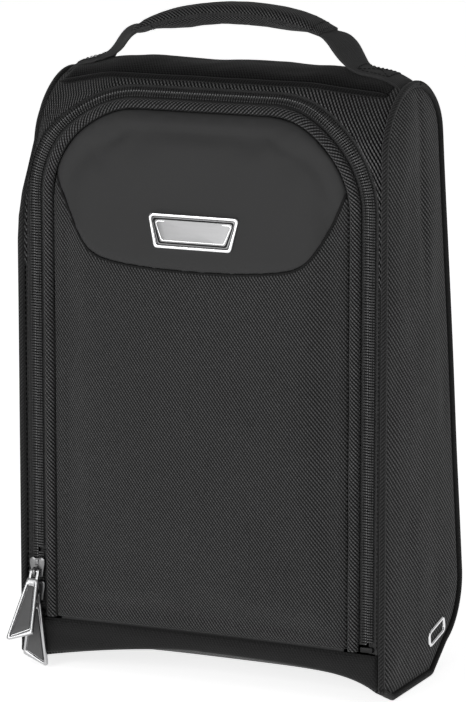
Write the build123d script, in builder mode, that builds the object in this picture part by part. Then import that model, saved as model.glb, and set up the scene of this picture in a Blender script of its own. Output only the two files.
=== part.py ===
"""Golf shoe bag: a soft zipped case with a front flap, a top carry handle and two zip sliders.

Frame: millimetres, +X to the wearer's right of the front, -Y towards the front flap, +Z up.
The origin is on the floor plane, midway between the side seams and midway along the bag's depth.

The walls follow one side outline, drawn in the YZ plane. Every wall layer is a strip of that
outline between two insets: inset 0 is the outer edge of the bound side seams, and the fabric's
outer face is at SKIN. The front flap and its zip follow one arch, drawn in the XZ plane. Every
flap and zip layer is a band of that arch between two offsets, where offset 0 is the zip's centre.
"""

import os
from math import cos, radians, sin

from build123d import *

# ---- side outline (YZ) ----
FRONT_Y = -63.2  # outer edge of the side seam at the front
SIDE_X = 115.6  # outer face of the bound side seams
TOP_CENTRE = (-20.0, 314.5)  # centre of the rounded top, y and z
TOP_RADIUS = 43.2
BACK_LEAN = 8.0  # degrees: the back slopes out towards the base
BACK_DROP = 270.0  # length of the straight back, down the slope
SEAT_FRONT, SEAT_BACK = -46.0, 14.0  # y limits of the flat the bag stands on
FRONT_TOE = 8.0  # height of the front lower corner
REAR_SLOPE = (36.0, 15.0)  # where the sloping rear of the base ends, y and z
REAR_KNEE = (53.0, 27.5)  # middle of the rounded rear lower edge
BELLY = 10.0  # how far the padded flap swells at mid height
PLAN_BELLY = 12.0  # how far it swells across its width

# ---- cloth layers, as insets from the outline ----
SKIN = 1.2  # fabric outer face
CLOTH = 2.0  # outer fabric with its backing
FLAP_CLOTH = 1.2  # the flap's outer fabric
GAP = 0.1  # play between neighbouring soft layers
LINING = 0.6
LINING_MARGIN = 2.6  # the side linings end this far inside the bound seams
LAYER_PLAY = 0.4  # between the layers of the base, and between a side panel and the walls
PANEL_X = 112.2  # half-width of the walls that run between the side seams
BINDING_DEPTH = 3.7  # width of the bound seam, across the side panel
BINDING_WIDTH = 3.2  # along X
BASE_RISE = 12.6  # the front of the base arches up between its corners
BASE_RISE_BACK = 2.0
BASE_FRONT_Y = -59.8
TOE_Z = 7.6  # lower edge of the hem at its corners
BOARD_HALF = 102.0
BOARD_THICK = 2.0

# ---- flap and zip arch (XZ) ----
CHAIN_X = 104.5  # half the distance between the zip's two straight runs
ARCH_TOP = 343.5
ARCH_RADIUS = 62.0
SEAM_Z = 30.0  # the flap's lower seam, which is its hinge
HEM_TOP = SEAM_Z - 0.6
FLAP_LOW = SEAM_Z + 1.0
WELT_OUT, WELT_IN = -5.3, -11.8  # offsets of the rolled welt round the flap
PADDING = 4.2  # flap padding behind the fabric face
UPPER_PANEL_Z = 243.0  # lower edge of the smooth upper panel
UPPER_PANEL_CORNER = 34.0
UPPER_PANEL_SAG = 2.0  # its lower edge hangs this much lower at the middle
UPPER_PANEL_SIDE_Z = 295.0
UPPER_PANEL_PAST = 2.0  # its side points lie this far beyond the pillow's edge
UPPER_PANEL_BOW = (18.0, 17.0)  # middle of each bowed side, inwards and upwards
CHAIN_SLOT = 0.4  # each half of the zip stops this far from its centre
COIL_OUT = 3.7
TAPE_OUT, TAPE_IN = 7.4, -9.0
FRAME_EDGE = 5.6  # the frame round the zip starts this far from the zip's centre
GUSSET_LOW, GUSSET_IN = 240.0, 20.0  # the corner gussets' lower end and their ends at the top
COIL_INSETS = (1.6, 3.7)
TAPE_INSETS = (3.8, 4.4)
COIL_LOW = SEAM_Z + 5.0
PARKED_TOP = 70.0  # the inner zip half below this stays in the parked sliders
PARKED_TAPE_IN = -6.0
STOP_Z, STOP_HIGH = 32.6, 3.2

# ---- top band and handle ----
BAND_X = 107.0
BAND_FRONT, BAND_BACK = -45.0, 8.0
BAND_PROUD = 2.0
BEAD_RADIUS = 2.2
HANDLE_Y = -20.0
GRIP_HALF, GRIP_END_Z, GRIP_MID_Z = 57.0, 377.0, 388.0
GRIP_THICK, GRIP_WIDE = 10.0, 28.0
GRIP_CAVITY = 5.4
WEB_THICK, WEB_WIDE = 2.5, 25.0
STRAP_END_IN, STRAP_END_OUT = 78.0, 106.0
RISER_BEND = (73.5, 371.5)  # middle of each strap riser's inner curve, x and z

# ---- sliders and pulls ----
SLIDER_X = -CHAIN_X
SLIDER_Z = {"upper": 60.0, "lower": 46.0}
SLIDER_WIDE, SLIDER_LONG = 9.6, 12.0
SLIDER_FRONT = (0.1, 1.3)  # insets of the front leaf
SLIDER_BACK = (4.6, 5.6)
SLIDER_NOSE = 2.6  # corner radius of the leaves
POST_WIDE = 0.4
PIVOT_OUT = 2.6  # pull pivot, forward of the slider's front leaf
PIVOT_DOWN = 2.0  # and below the slider's middle
RING_IN, RING_OUT, RING_WIDE = 1.5, 2.7, 2.0
PULL_THICK = 2.6
PULL_TOP_W, PULL_BOTTOM_W = 7.0, 16.0
PULL_NECK, PULL_LONG = 4.2, 43.0
PULL_RIM = 1.9
PULL_SLANT = 6.5  # one lower corner hangs this much lower than the other one
# tilt to the left and swing out, in degrees, and the side of the corner that hangs lowest
PULL_POSE = {"upper": (4.0, 23.0, -1), "lower": (0.0, 0.0, 1)}

# ---- badges ----
BADGE_Z = 266.5
BADGE_TOP_W, BADGE_BOTTOM_W, BADGE_H = 53.0, 44.0, 16.0
BADGE_RIM = 2.0
BADGE_THICK, BADGE_RIM_THICK = 1.2, 1.9
BADGE_LEAN = 5.5  # degrees back from upright
BADGE_Y = -68.5
SIDE_BADGE_AT = (19.0, 25.2)
SIDE_BADGE = (25.0, 10.0)
SIDE_BADGE_BAR = 1.9
SIDE_BADGE_CORNERS = (3.6, 2.4)  # outer and inner
SIDE_BADGE_THICK = 1.4
SIDE_BADGE_TURN = 12.0  # degrees, along the sloping rear of the base

FAR = 400.0  # longer than the bag in every direction

os.makedirs("parts", exist_ok=True)


def save(builder, name):
    """Label a finished piece and write its STEP."""
    builder.part.label = name
    export_step(builder.part, f"parts/{name}.step")


# ---------------------------------------------------------------- profiles


def side_profile(inset, belly=0.0, mode=Mode.ADD):
    """The closed side outline, moved inwards by inset, into the sketch in hand."""
    cy, cz = TOP_CENTRE
    lean = radians(BACK_LEAN)
    back_top = (cy + TOP_RADIUS * cos(lean), cz + TOP_RADIUS * sin(lean))
    back_low = (back_top[0] + BACK_DROP * sin(lean), back_top[1] - BACK_DROP * cos(lean))
    with BuildSketch(mode=Mode.PRIVATE) as outline:
        with BuildLine():
            if belly:
                ThreePointArc((FRONT_Y, SEAM_Z), (FRONT_Y - belly, (SEAM_Z + cz) / 2), (FRONT_Y, cz))
                Line((FRONT_Y, FRONT_TOE), (FRONT_Y, SEAM_Z))
            else:
                Line((FRONT_Y, FRONT_TOE), (FRONT_Y, cz))
            CenterArc(TOP_CENTRE, TOP_RADIUS, BACK_LEAN, 180 - BACK_LEAN)
            Line(back_top, back_low)
            ThreePointArc(back_low, REAR_KNEE, REAR_SLOPE)
            Polyline(REAR_SLOPE, (SEAT_BACK, 0), (SEAT_FRONT, 0), (FRONT_Y, FRONT_TOE))
        make_face()
        if inset:
            offset(amount=-inset, kind=Kind.INTERSECTION, mode=Mode.REPLACE)
    add(outline.sketch, mode=mode)


def arch_profile(out, low, mode=Mode.ADD):
    """The flap arch grown by out, closed along the level line z = low, into the sketch in hand."""
    half, top, radius = CHAIN_X + out, ARCH_TOP + out, ARCH_RADIUS + out
    centre_x, centre_z = half - radius, top - radius
    with BuildSketch(mode=Mode.PRIVATE) as outline:
        with BuildLine():
            Polyline((-half, centre_z), (-half, low), (half, low), (half, centre_z))
            CenterArc((centre_x, centre_z), radius, 0, 90)
            Line((centre_x, top), (-centre_x, top))
            CenterArc((-centre_x, centre_z), radius, 90, 90)
        make_face()
    add(outline.sketch, mode=mode)


def box_profile(low, high, mode=Mode.ADD):
    """A rectangle between two opposite corners, into the sketch in hand."""
    middle = ((low[0] + high[0]) / 2, (low[1] + high[1]) / 2)
    with Locations(middle):
        Rectangle(high[0] - low[0], high[1] - low[1], mode=mode)


def wall(outer, inner, half_x, low, high):
    """A wall layer: the outline between two insets, within a YZ box, across the bag's width."""
    with BuildSketch(Plane.YZ) as strip:
        side_profile(outer)
        side_profile(inner, mode=Mode.SUBTRACT)
        box_profile(low, high, mode=Mode.INTERSECT)
    extrude(strip.sketch, amount=half_x, both=True)


def arch_band(out, into, outer, inner, low):
    """A flap or zip layer: the arch between two offsets, as thick as two insets of the outline."""
    wall(outer, inner, CHAIN_X + out + 1, (FRONT_Y - 10, low), (TOP_CENTRE[0], FAR))
    with BuildSketch(Plane.XZ) as band:
        arch_profile(out, low)
        if into is not None:
            arch_profile(into, low - 1, mode=Mode.SUBTRACT)
    extrude(band.sketch, amount=FAR, both=True, mode=Mode.INTERSECT)


def pillow(inset):
    """The padded flap as a solid block: the arch inside the welt, swelling both ways."""
    with BuildSketch(Plane.XZ) as front_view:
        arch_profile(WELT_IN - GAP, FLAP_LOW)
    extrude(front_view.sketch, amount=FAR, both=True)
    with BuildSketch(Plane.YZ) as side_view:
        side_profile(SKIN + inset, belly=BELLY)
    extrude(side_view.sketch, amount=FAR, both=True, mode=Mode.INTERSECT)
    edge_x, edge_y = CHAIN_X + WELT_IN, FRONT_Y + SKIN + inset
    with BuildSketch(Plane.XY) as plan_view:
        with BuildLine():
            ThreePointArc((-edge_x, edge_y), (0, edge_y - PLAN_BELLY), (edge_x, edge_y))
            Polyline((edge_x, edge_y), (edge_x, 0), (-edge_x, 0), (-edge_x, edge_y))
        make_face()
    extrude(plan_view.sketch, amount=FAR, mode=Mode.INTERSECT)


def hollow_behind(inset):
    """Cut away everything further in than inset."""
    with BuildSketch(Plane.YZ) as core:
        side_profile(inset)
    extrude(core.sketch, amount=FAR, both=True, mode=Mode.SUBTRACT)


# ---------------------------------------------------------------- base


def base_section(y, corner_z, rise, half_x, lift, thick):
    """One cross-section of the arched base, in the XZ plane at y."""
    edge_z = corner_z + rise * (1 - (half_x / PANEL_X) ** 2) + lift
    mid_z = corner_z + rise + lift
    with BuildSketch(Plane.XZ.offset(-y)) as section:
        with BuildLine():
            ThreePointArc((-half_x, edge_z), (0, mid_z), (half_x, edge_z))
            Line((half_x, edge_z), (half_x, edge_z + thick))
            ThreePointArc((half_x, edge_z + thick), (0, mid_z + thick), (-half_x, edge_z + thick))
            Line((-half_x, edge_z + thick), (-half_x, edge_z))
        make_face()
    return section.sketch.face()


with BuildPart() as base_panel:
    front = base_section(BASE_FRONT_Y, TOE_Z, BASE_RISE, PANEL_X, 0, CLOTH)
    middle = base_section(SEAT_FRONT, SKIN, BASE_RISE, PANEL_X, 0, CLOTH)
    back = base_section(SEAT_BACK - GAP, SKIN, BASE_RISE_BACK, PANEL_X, 0, CLOTH)
    loft([front, middle, back], ruled=True)
save(base_panel, "base_panel")

with BuildPart() as base_board:
    board_lift = CLOTH + LAYER_PLAY
    front = base_section(SEAT_FRONT, SKIN, BASE_RISE, BOARD_HALF, board_lift, BOARD_THICK)
    back = base_section(SEAT_BACK - 2, SKIN, BASE_RISE_BACK, BOARD_HALF, board_lift, BOARD_THICK)
    loft([front, back], ruled=True)
save(base_board, "base_board")

with BuildPart() as base_lining:
    lining_lift = CLOTH + BOARD_THICK + 2 * LAYER_PLAY
    front = base_section(SEAT_FRONT, SKIN, BASE_RISE, BOARD_HALF + 5, lining_lift, LINING)
    back = base_section(SEAT_BACK - 2, SKIN, BASE_RISE_BACK, BOARD_HALF + 5, lining_lift, LINING)
    loft([front, back], ruled=True)
save(base_lining, "base_lining")

# ---------------------------------------------------------------- back, top and sides

with BuildPart() as back_panel:
    wall(SKIN, SKIN + CLOTH, PANEL_X, (SEAT_BACK, -1), (FAR, TOP_CENTRE[1]))
save(back_panel, "back_panel")

with BuildPart() as top_panel:
    wall(SKIN, SKIN + CLOTH, PANEL_X, (BAND_FRONT + 0.6, TOP_CENTRE[1] + GAP), (FAR, FAR))
    # its front edge stops short of the zip's teeth
    with BuildSketch(Plane.XZ.offset(-TOP_CENTRE[0])):
        arch_profile(FRAME_EDGE, SEAM_Z)
    extrude(amount=FAR, mode=Mode.SUBTRACT)
save(top_panel, "top_panel")

with BuildPart() as back_lining:
    inner = SKIN + CLOTH + GAP
    wall(inner, inner + LINING, PANEL_X - 2, (SEAT_BACK + 4, 6), (FAR, TOP_CENTRE[1]))
save(back_lining, "back_lining")

with BuildPart() as top_lining:
    wall(inner, inner + LINING, PANEL_X - 2, (BAND_FRONT + 11, TOP_CENTRE[1] + GAP), (FAR, FAR))
save(top_lining, "top_lining")

SIDES = {"left": -1, "right": 1}

for side, sign in SIDES.items():
    # the outer face looks along +X on the right side and along -X on the left
    facing = Plane.YZ.offset(sign * (SIDE_X - BINDING_WIDTH))

    with BuildPart() as seam_binding:
        with BuildSketch(facing):
            side_profile(0)
            side_profile(BINDING_DEPTH, mode=Mode.SUBTRACT)
        extrude(amount=sign * BINDING_WIDTH)
        outer_face = seam_binding.faces().sort_by(Axis.X)[-1 if sign > 0 else 0]
        fillet(outer_face.outer_wire().edges(), radius=1.2)
    save(seam_binding, f"{side}_seam_binding")

    with BuildPart() as side_panel:
        with BuildSketch(facing.offset(sign * LAYER_PLAY)):
            side_profile(BINDING_DEPTH + GAP)
        extrude(amount=sign * CLOTH)
    save(side_panel, f"{side}_side_panel")

    with BuildPart() as side_lining:
        with BuildSketch(facing.offset(-sign * LAYER_PLAY / 2)):
            side_profile(BINDING_DEPTH + LINING_MARGIN)
        extrude(amount=-sign * LINING)
    save(side_lining, f"{side}_side_lining")

# ---------------------------------------------------------------- front frame and hem

with BuildPart() as front_hem:
    with BuildSketch(Plane.XZ.offset(-(FRONT_Y + SKIN + CLOTH))):
        with BuildLine():
            Polyline((-PANEL_X, TOE_Z), (-PANEL_X, HEM_TOP), (PANEL_X, HEM_TOP), (PANEL_X, TOE_Z))
            ThreePointArc((-PANEL_X, TOE_Z), (0, TOE_Z + BASE_RISE), (PANEL_X, TOE_Z))
        make_face()
    extrude(amount=CLOTH)
save(front_hem, "front_hem")

for side, sign in SIDES.items():
    with BuildPart() as corner_gusset:
        near, far = sorted((sign * GUSSET_IN, sign * PANEL_X))
        wall(SKIN, SKIN + CLOTH, PANEL_X, (FRONT_Y - 1, GUSSET_LOW), (BAND_FRONT, FAR))
        with BuildSketch(Plane.XZ):
            box_profile((near, GUSSET_LOW), (far, FAR))
            arch_profile(FRAME_EDGE, SEAM_Z, mode=Mode.SUBTRACT)
        extrude(amount=FAR, both=True, mode=Mode.INTERSECT)
    save(corner_gusset, f"{side}_corner_gusset")

# ---------------------------------------------------------------- top band

with BuildPart() as top_band:
    wall(SKIN - BAND_PROUD - 1, SKIN - GAP, BAND_X, (BAND_FRONT + 3.4, 300), (BAND_BACK, FAR))
save(top_band, "top_band")

band_edge_y = BAND_FRONT + 1.0
band_edge_r = TOP_RADIUS - SKIN + BEAD_RADIUS + GAP
band_edge_z = TOP_CENTRE[1] + (band_edge_r**2 - (band_edge_y - TOP_CENTRE[0]) ** 2) ** 0.5
with BuildPart() as band_piping:
    with BuildSketch(Plane.YZ):
        with Locations((band_edge_y, band_edge_z)):
            Circle(BEAD_RADIUS)
    extrude(amount=BAND_X, both=True)
save(band_piping, "band_piping")

# ---------------------------------------------------------------- zip, bag side

with BuildPart() as outer_tape:
    arch_band(TAPE_OUT, CHAIN_SLOT, *TAPE_INSETS, SEAM_Z)
save(outer_tape, "zip_outer_tape")

with BuildPart() as outer_coil:
    arch_band(COIL_OUT, CHAIN_SLOT, *COIL_INSETS, COIL_LOW)
save(outer_coil, "zip_outer_coil")


def parked_half(band_out, band_in, insets, low):
    """The lowest stretch of the zip's inner half, which the parked sliders hold."""
    with BuildSketch(Plane.XY.offset(low)) as section:
        outer, inner = (FRONT_Y + inset for inset in insets)
        box_profile((-CHAIN_X - band_out, outer), (-CHAIN_X - band_in, inner))
    extrude(section.sketch, amount=PARKED_TOP - low)


with BuildPart() as parked_tape:
    parked_half(-CHAIN_SLOT, PARKED_TAPE_IN, TAPE_INSETS, SEAM_Z)
save(parked_tape, "zip_parked_tape")

with BuildPart() as parked_coil:
    parked_half(-CHAIN_SLOT, -COIL_OUT, COIL_INSETS, COIL_LOW)
save(parked_coil, "zip_parked_coil")

with BuildPart() as end_stops:
    stop_out, stop_in = FRONT_Y + COIL_INSETS[0] - 0.3, FRONT_Y + COIL_INSETS[1]
    with BuildSketch(Plane.XZ.offset(-stop_in)):
        with Locations((-CHAIN_X, STOP_Z), (CHAIN_X, STOP_Z)):
            RectangleRounded(2 * COIL_OUT + 0.6, STOP_HIGH, 0.6)
    extrude(amount=stop_in - stop_out)
save(end_stops, "zip_end_stops")

# ---------------------------------------------------------------- flap

with BuildPart() as pad_block:
    pillow(FLAP_CLOTH)


def upper_region(mode=Mode.ADD):
    """The smooth upper panel's outline: a bowl hanging from side points near the arch."""
    side_x = CHAIN_X + WELT_IN + UPPER_PANEL_PAST
    corner_x, corner_z = side_x - UPPER_PANEL_CORNER, UPPER_PANEL_Z + UPPER_PANEL_SAG
    bow_x, bow_z = side_x - UPPER_PANEL_BOW[0], corner_z + UPPER_PANEL_BOW[1]
    with BuildSketch(mode=Mode.PRIVATE) as outline:
        with BuildLine():
            Polyline(
                (-side_x, UPPER_PANEL_SIDE_Z), (-side_x, FAR), (side_x, FAR), (side_x, UPPER_PANEL_SIDE_Z)
            )
            ThreePointArc((side_x, UPPER_PANEL_SIDE_Z), (bow_x, bow_z), (corner_x, corner_z))
            ThreePointArc((corner_x, corner_z), (0, UPPER_PANEL_Z), (-corner_x, corner_z))
            ThreePointArc((-corner_x, corner_z), (-bow_x, bow_z), (-side_x, UPPER_PANEL_SIDE_Z))
        make_face()
    add(outline.sketch, mode=mode)


with BuildPart() as main_panel:
    pillow(0)
    add(pad_block.part, mode=Mode.SUBTRACT)
    hollow_behind(SKIN + FLAP_CLOTH)
    with BuildSketch(Plane.XZ):
        box_profile((-FAR, 0), (FAR, FAR))
        upper_region(Mode.SUBTRACT)
    extrude(amount=FAR, both=True, mode=Mode.INTERSECT)
save(main_panel, "flap_main_panel")

with BuildPart() as upper_panel:
    pillow(0)
    add(pad_block.part, mode=Mode.SUBTRACT)
    hollow_behind(SKIN + FLAP_CLOTH)
    with BuildSketch(Plane.XZ):
        upper_region()
    extrude(amount=FAR, both=True, mode=Mode.INTERSECT)
save(upper_panel, "flap_upper_panel")

with BuildPart() as flap_padding:
    pillow(FLAP_CLOTH + GAP)
    hollow_behind(SKIN + PADDING)
save(flap_padding, "flap_padding")

with BuildPart() as flap_lining:
    lining_at = SKIN + PADDING + GAP
    arch_band(WELT_IN - GAP, None, lining_at, lining_at + LINING, FLAP_LOW)
save(flap_lining, "flap_lining")

with BuildPart() as flap_welt:
    arch_band(WELT_OUT, WELT_IN, SKIN - 1.5, TAPE_INSETS[0] - GAP, FLAP_LOW)
save(flap_welt, "flap_welt")


def clear_of_sliders():
    """Leave out the stretch that stays in the parked sliders, and the foot of the right run."""
    with BuildSketch(Plane.XZ) as feet:
        box_profile((-FAR, 0), (0, PARKED_TOP + 0.5))
        box_profile((0, 0), (FAR, COIL_LOW))
    extrude(feet.sketch, amount=FAR, both=True, mode=Mode.SUBTRACT)


with BuildPart() as inner_tape:
    arch_band(-CHAIN_SLOT, TAPE_IN, *TAPE_INSETS, FLAP_LOW)
    clear_of_sliders()
save(inner_tape, "zip_inner_tape")

with BuildPart() as inner_coil:
    arch_band(-CHAIN_SLOT, -COIL_OUT, *COIL_INSETS, COIL_LOW)
    clear_of_sliders()
save(inner_coil, "zip_inner_coil")

# ---------------------------------------------------------------- badges


def trapezoid(grow):
    """The badge outline, grown by grow on every side."""
    half_top, half_bottom = BADGE_TOP_W / 2 + grow, BADGE_BOTTOM_W / 2 + grow
    half_high = BADGE_H / 2 + grow
    low, high = (half_bottom, -half_high), (half_top, half_high)
    corners = low, high, (-high[0], high[1]), (-low[0], low[1])
    with BuildSketch(mode=Mode.PRIVATE) as outline:
        Polygon(*corners, align=None)
        fillet(outline.vertices(), radius=1.5 + grow / 2)
    return outline.sketch


lean = radians(BADGE_LEAN)
badge_plane = Plane(origin=(0, BADGE_Y, BADGE_Z), x_dir=(1, 0, 0), z_dir=(0, -cos(lean), sin(lean)))
with BuildPart() as badge_plate:
    with BuildSketch(badge_plane):
        add(trapezoid(0))
    extrude(amount=BADGE_THICK)
save(badge_plate, "badge_plate")

with BuildPart() as badge_rim:
    with BuildSketch(badge_plane):
        add(trapezoid(BADGE_RIM))
        add(trapezoid(0.05), mode=Mode.SUBTRACT)
    extrude(amount=BADGE_RIM_THICK)
save(badge_rim, "badge_rim")

side_badge_plane = Plane.YZ.offset(SIDE_X - BINDING_WIDTH + LAYER_PLAY + CLOTH)
with BuildPart() as side_badge:
    with BuildSketch(side_badge_plane):
        with Locations(Location(SIDE_BADGE_AT, SIDE_BADGE_TURN)):
            RectangleRounded(*SIDE_BADGE, SIDE_BADGE_CORNERS[0])
            inner_size = [size - 2 * SIDE_BADGE_BAR for size in SIDE_BADGE]
            RectangleRounded(*inner_size, SIDE_BADGE_CORNERS[1], mode=Mode.SUBTRACT)
    extrude(amount=SIDE_BADGE_THICK)
save(side_badge, "side_badge")

# ---------------------------------------------------------------- handle


def grip_arc(shift):
    """The grip's centre line, raised by shift: ends and middle points of an arc in XZ."""
    return (-GRIP_HALF, GRIP_END_Z + shift), (0, GRIP_MID_Z + shift), (GRIP_HALF, GRIP_END_Z + shift)


def grip_layer(low, high, wide, mode=Mode.ADD):
    """A strip of the grip between two heights about its centre line."""
    bottom, top = grip_arc(low), grip_arc(high)
    with BuildSketch(Plane.XZ.offset(-HANDLE_Y)) as strip:
        with BuildLine():
            ThreePointArc(*bottom)
            Line(bottom[2], top[2])
            ThreePointArc(*top)
            Line(top[0], bottom[0])
        make_face()
    extrude(strip.sketch, amount=wide / 2, both=True, mode=mode)


with BuildPart() as grip_sleeve:
    grip_layer(-GRIP_THICK / 2, GRIP_THICK / 2, GRIP_WIDE)
    long_edges = grip_sleeve.edges().filter_by(GeomType.CIRCLE)
    fillet(long_edges, radius=GRIP_THICK / 4)
    grip_layer(-GRIP_CAVITY / 2, GRIP_CAVITY / 2, WEB_WIDE + 0.4, mode=Mode.SUBTRACT)
save(grip_sleeve, "handle_grip")

with BuildPart() as grip_webbing:
    grip_layer(-GRIP_CAVITY / 2 + GAP, -GAP / 2, WEB_WIDE)
save(grip_webbing, "handle_webbing")

with BuildPart() as grip_pad:
    grip_layer(GAP / 2, GRIP_CAVITY / 2 - GAP, WEB_WIDE)
save(grip_pad, "handle_padding")

strap_base_z = TOP_CENTRE[1] + TOP_RADIUS - SKIN + BAND_PROUD + 1 + GAP
for side, sign in SIDES.items():
    with BuildPart() as strap_end:
        near, far = sorted((sign * STRAP_END_IN, sign * STRAP_END_OUT))
        outer = SKIN - BAND_PROUD - 1 - GAP
        half_w = WEB_WIDE / 2
        wall(outer - WEB_THICK, outer, SIDE_X, (HANDLE_Y - half_w, 330), (HANDLE_Y + half_w, FAR))
        with BuildSketch(Plane.XZ):
            box_profile((near, 300), (far, FAR))
        extrude(amount=FAR, both=True, mode=Mode.INTERSECT)
    save(strap_end, f"{side}_strap_end")

    with BuildPart() as riser:
        start = (sign * (GRIP_HALF + 0.3), GRIP_END_Z - WEB_THICK / 2)
        bend = (sign * RISER_BEND[0], RISER_BEND[1])
        foot = (sign * (STRAP_END_IN + 2.5), strap_base_z + WEB_THICK + 0.6)
        with BuildSketch(Plane.XZ.offset(-HANDLE_Y)):
            with BuildLine():
                ThreePointArc(start, bend, foot)
                Line(foot, (foot[0] + sign * WEB_THICK, foot[1]))
                outer_bend = (bend[0] + sign * WEB_THICK * 0.7, bend[1] + WEB_THICK * 0.7)
                outer_start = (start[0], start[1] + WEB_THICK)
                ThreePointArc((foot[0] + sign * WEB_THICK, foot[1]), outer_bend, outer_start)
                Line(outer_start, start)
            make_face()
        extrude(amount=WEB_WIDE / 2, both=True)
    save(riser, f"{side}_strap_riser")

# ---------------------------------------------------------------- sliders and pulls


def slider_leaf(z, insets):
    """One leaf of a slider: a plate with a blunt nose, between two insets."""
    with BuildSketch(Plane.XZ.offset(-(FRONT_Y + insets[1]))) as leaf:
        with Locations((SLIDER_X, z)):
            RectangleRounded(SLIDER_WIDE, SLIDER_LONG, SLIDER_NOSE)
    extrude(leaf.sketch, amount=insets[1] - insets[0])


def pull_blank(half_top, half_bottom, top, bottom, tilt, low_side):
    """The pull's tapered outline, hanging from the pivot, with its lower edge cut on a slant."""
    right_low, left_low = (bottom, bottom - PULL_SLANT)[::low_side]
    corners = [(-half_top, -top), (half_top, -top), (half_bottom, -right_low), (-half_bottom, -left_low)]
    with BuildSketch(mode=Mode.PRIVATE) as outline:
        Polygon(*corners, align=None)
        fillet(outline.vertices(), radius=1.2)
    return outline.sketch.rotate(Axis.Z, -tilt)


for name, z in SLIDER_Z.items():
    pivot_y = FRONT_Y + SLIDER_FRONT[0] - PIVOT_OUT
    pivot_z = z - PIVOT_DOWN
    tilt, swing, low_side = PULL_POSE[name]
    swing_rad = radians(swing)

    with BuildPart() as slider:
        slider_leaf(z, SLIDER_FRONT)
        slider_leaf(z, SLIDER_BACK)
        with BuildSketch(Plane.XZ.offset(-(FRONT_Y + SLIDER_BACK[0] + 0.2))):
            with Locations((SLIDER_X, z)):
                Rectangle(POST_WIDE, SLIDER_LONG * 0.6)
        extrude(amount=SLIDER_BACK[0] - SLIDER_FRONT[1] + 0.4)
        with BuildSketch(Plane.YZ.offset(SLIDER_X)):
            with Locations((pivot_y, pivot_z)):
                Circle(RING_OUT)
                Circle(RING_IN, mode=Mode.SUBTRACT)
        extrude(amount=RING_WIDE / 2, both=True)
    save(slider, f"{name}_slider")

    pull_plane = Plane(
        origin=(SLIDER_X, pivot_y, pivot_z),
        x_dir=(1, 0, 0),
        z_dir=(0, -cos(swing_rad), sin(swing_rad)),
    )
    with BuildPart() as pull_frame:
        with BuildSketch(pull_plane):
            add(pull_blank(PULL_TOP_W / 2, PULL_BOTTOM_W / 2, PULL_NECK, PULL_LONG, tilt, low_side))
            window_top, window_low = PULL_NECK + PULL_RIM + 1, PULL_LONG - PULL_RIM - 0.4
            half_top, half_low = PULL_TOP_W / 2 - PULL_RIM + 0.4, PULL_BOTTOM_W / 2 - PULL_RIM
            add(
                pull_blank(half_top, half_low, window_top, window_low, tilt, low_side),
                mode=Mode.SUBTRACT,
            )
        extrude(amount=PULL_THICK / 2, both=True)
        # the head: a round bar through the slider's ring, on two cheeks
        with BuildSketch(Plane.YZ.offset(SLIDER_X)):
            with Locations((pivot_y, pivot_z)):
                Circle(RING_IN - 0.3)
        extrude(amount=PULL_TOP_W / 2 - 0.4, both=True)
        with BuildSketch(pull_plane):
            cheek_x = (RING_WIDE / 2 + 0.3 + PULL_TOP_W / 2 - 0.4) / 2
            cheek_w = PULL_TOP_W / 2 - 0.4 - RING_WIDE / 2 - 0.3
            with Locations((-cheek_x, -PULL_NECK / 2), (cheek_x, -PULL_NECK / 2)):
                Rectangle(cheek_w, PULL_NECK + 1.6)
        extrude(amount=PULL_THICK / 2 - 0.2, both=True)
    save(pull_frame, f"{name}_pull_frame")

    with BuildPart() as pull_inlay:
        with BuildSketch(pull_plane):
            half_top, half_low = half_top - GAP, half_low - GAP
            window_top, window_low = window_top + GAP, window_low - GAP
            add(pull_blank(half_top, half_low, window_top, window_low, tilt, low_side))
        extrude(amount=PULL_THICK / 2 - 0.3, both=True)
    save(pull_inlay, f"{name}_pull_inlay")
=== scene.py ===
"""Looks of the golf shoe bag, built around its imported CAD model.

Lengths in this file are millimetres until make_object() turns them into metres. The bag's cloth is
laid out on its side outline: a point of a wall has an x, a distance s along the outline and a lift,
its height above the fabric's outer face. The zip and the flap follow one arch, given by a distance t
along it and an offset from the zip's centre.
"""

import math

import bpy
import bmesh
import numpy as np
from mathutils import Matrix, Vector, noise
from mathutils.bvhtree import BVHTree
from mathutils.geometry import delaunay_2d_cdt


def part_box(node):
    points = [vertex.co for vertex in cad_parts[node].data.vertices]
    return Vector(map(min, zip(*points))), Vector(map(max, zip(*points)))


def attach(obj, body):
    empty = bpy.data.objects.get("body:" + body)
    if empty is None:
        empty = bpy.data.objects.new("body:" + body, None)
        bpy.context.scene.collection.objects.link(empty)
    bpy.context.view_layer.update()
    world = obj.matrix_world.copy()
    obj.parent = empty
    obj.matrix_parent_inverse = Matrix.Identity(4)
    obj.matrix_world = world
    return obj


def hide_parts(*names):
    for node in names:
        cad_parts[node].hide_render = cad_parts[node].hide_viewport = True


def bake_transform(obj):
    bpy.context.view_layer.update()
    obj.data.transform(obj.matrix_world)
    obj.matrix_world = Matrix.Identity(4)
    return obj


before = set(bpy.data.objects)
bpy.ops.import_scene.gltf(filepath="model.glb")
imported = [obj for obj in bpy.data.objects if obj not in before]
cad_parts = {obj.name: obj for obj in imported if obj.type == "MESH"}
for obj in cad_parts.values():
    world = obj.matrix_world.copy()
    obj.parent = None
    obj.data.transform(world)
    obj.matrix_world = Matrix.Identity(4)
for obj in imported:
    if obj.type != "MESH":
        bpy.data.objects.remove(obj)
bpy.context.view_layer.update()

MM = 0.001
UP, DOWN = (0, 0, 1), (0, 0, -1)


def cad_box(node):
    """A CAD node's lowest and highest corners, in millimetres."""
    low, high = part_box(node)
    return np.array(low) / MM, np.array(high) / MM


# ---------------------------------------------------------------- the bag's measures

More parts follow.
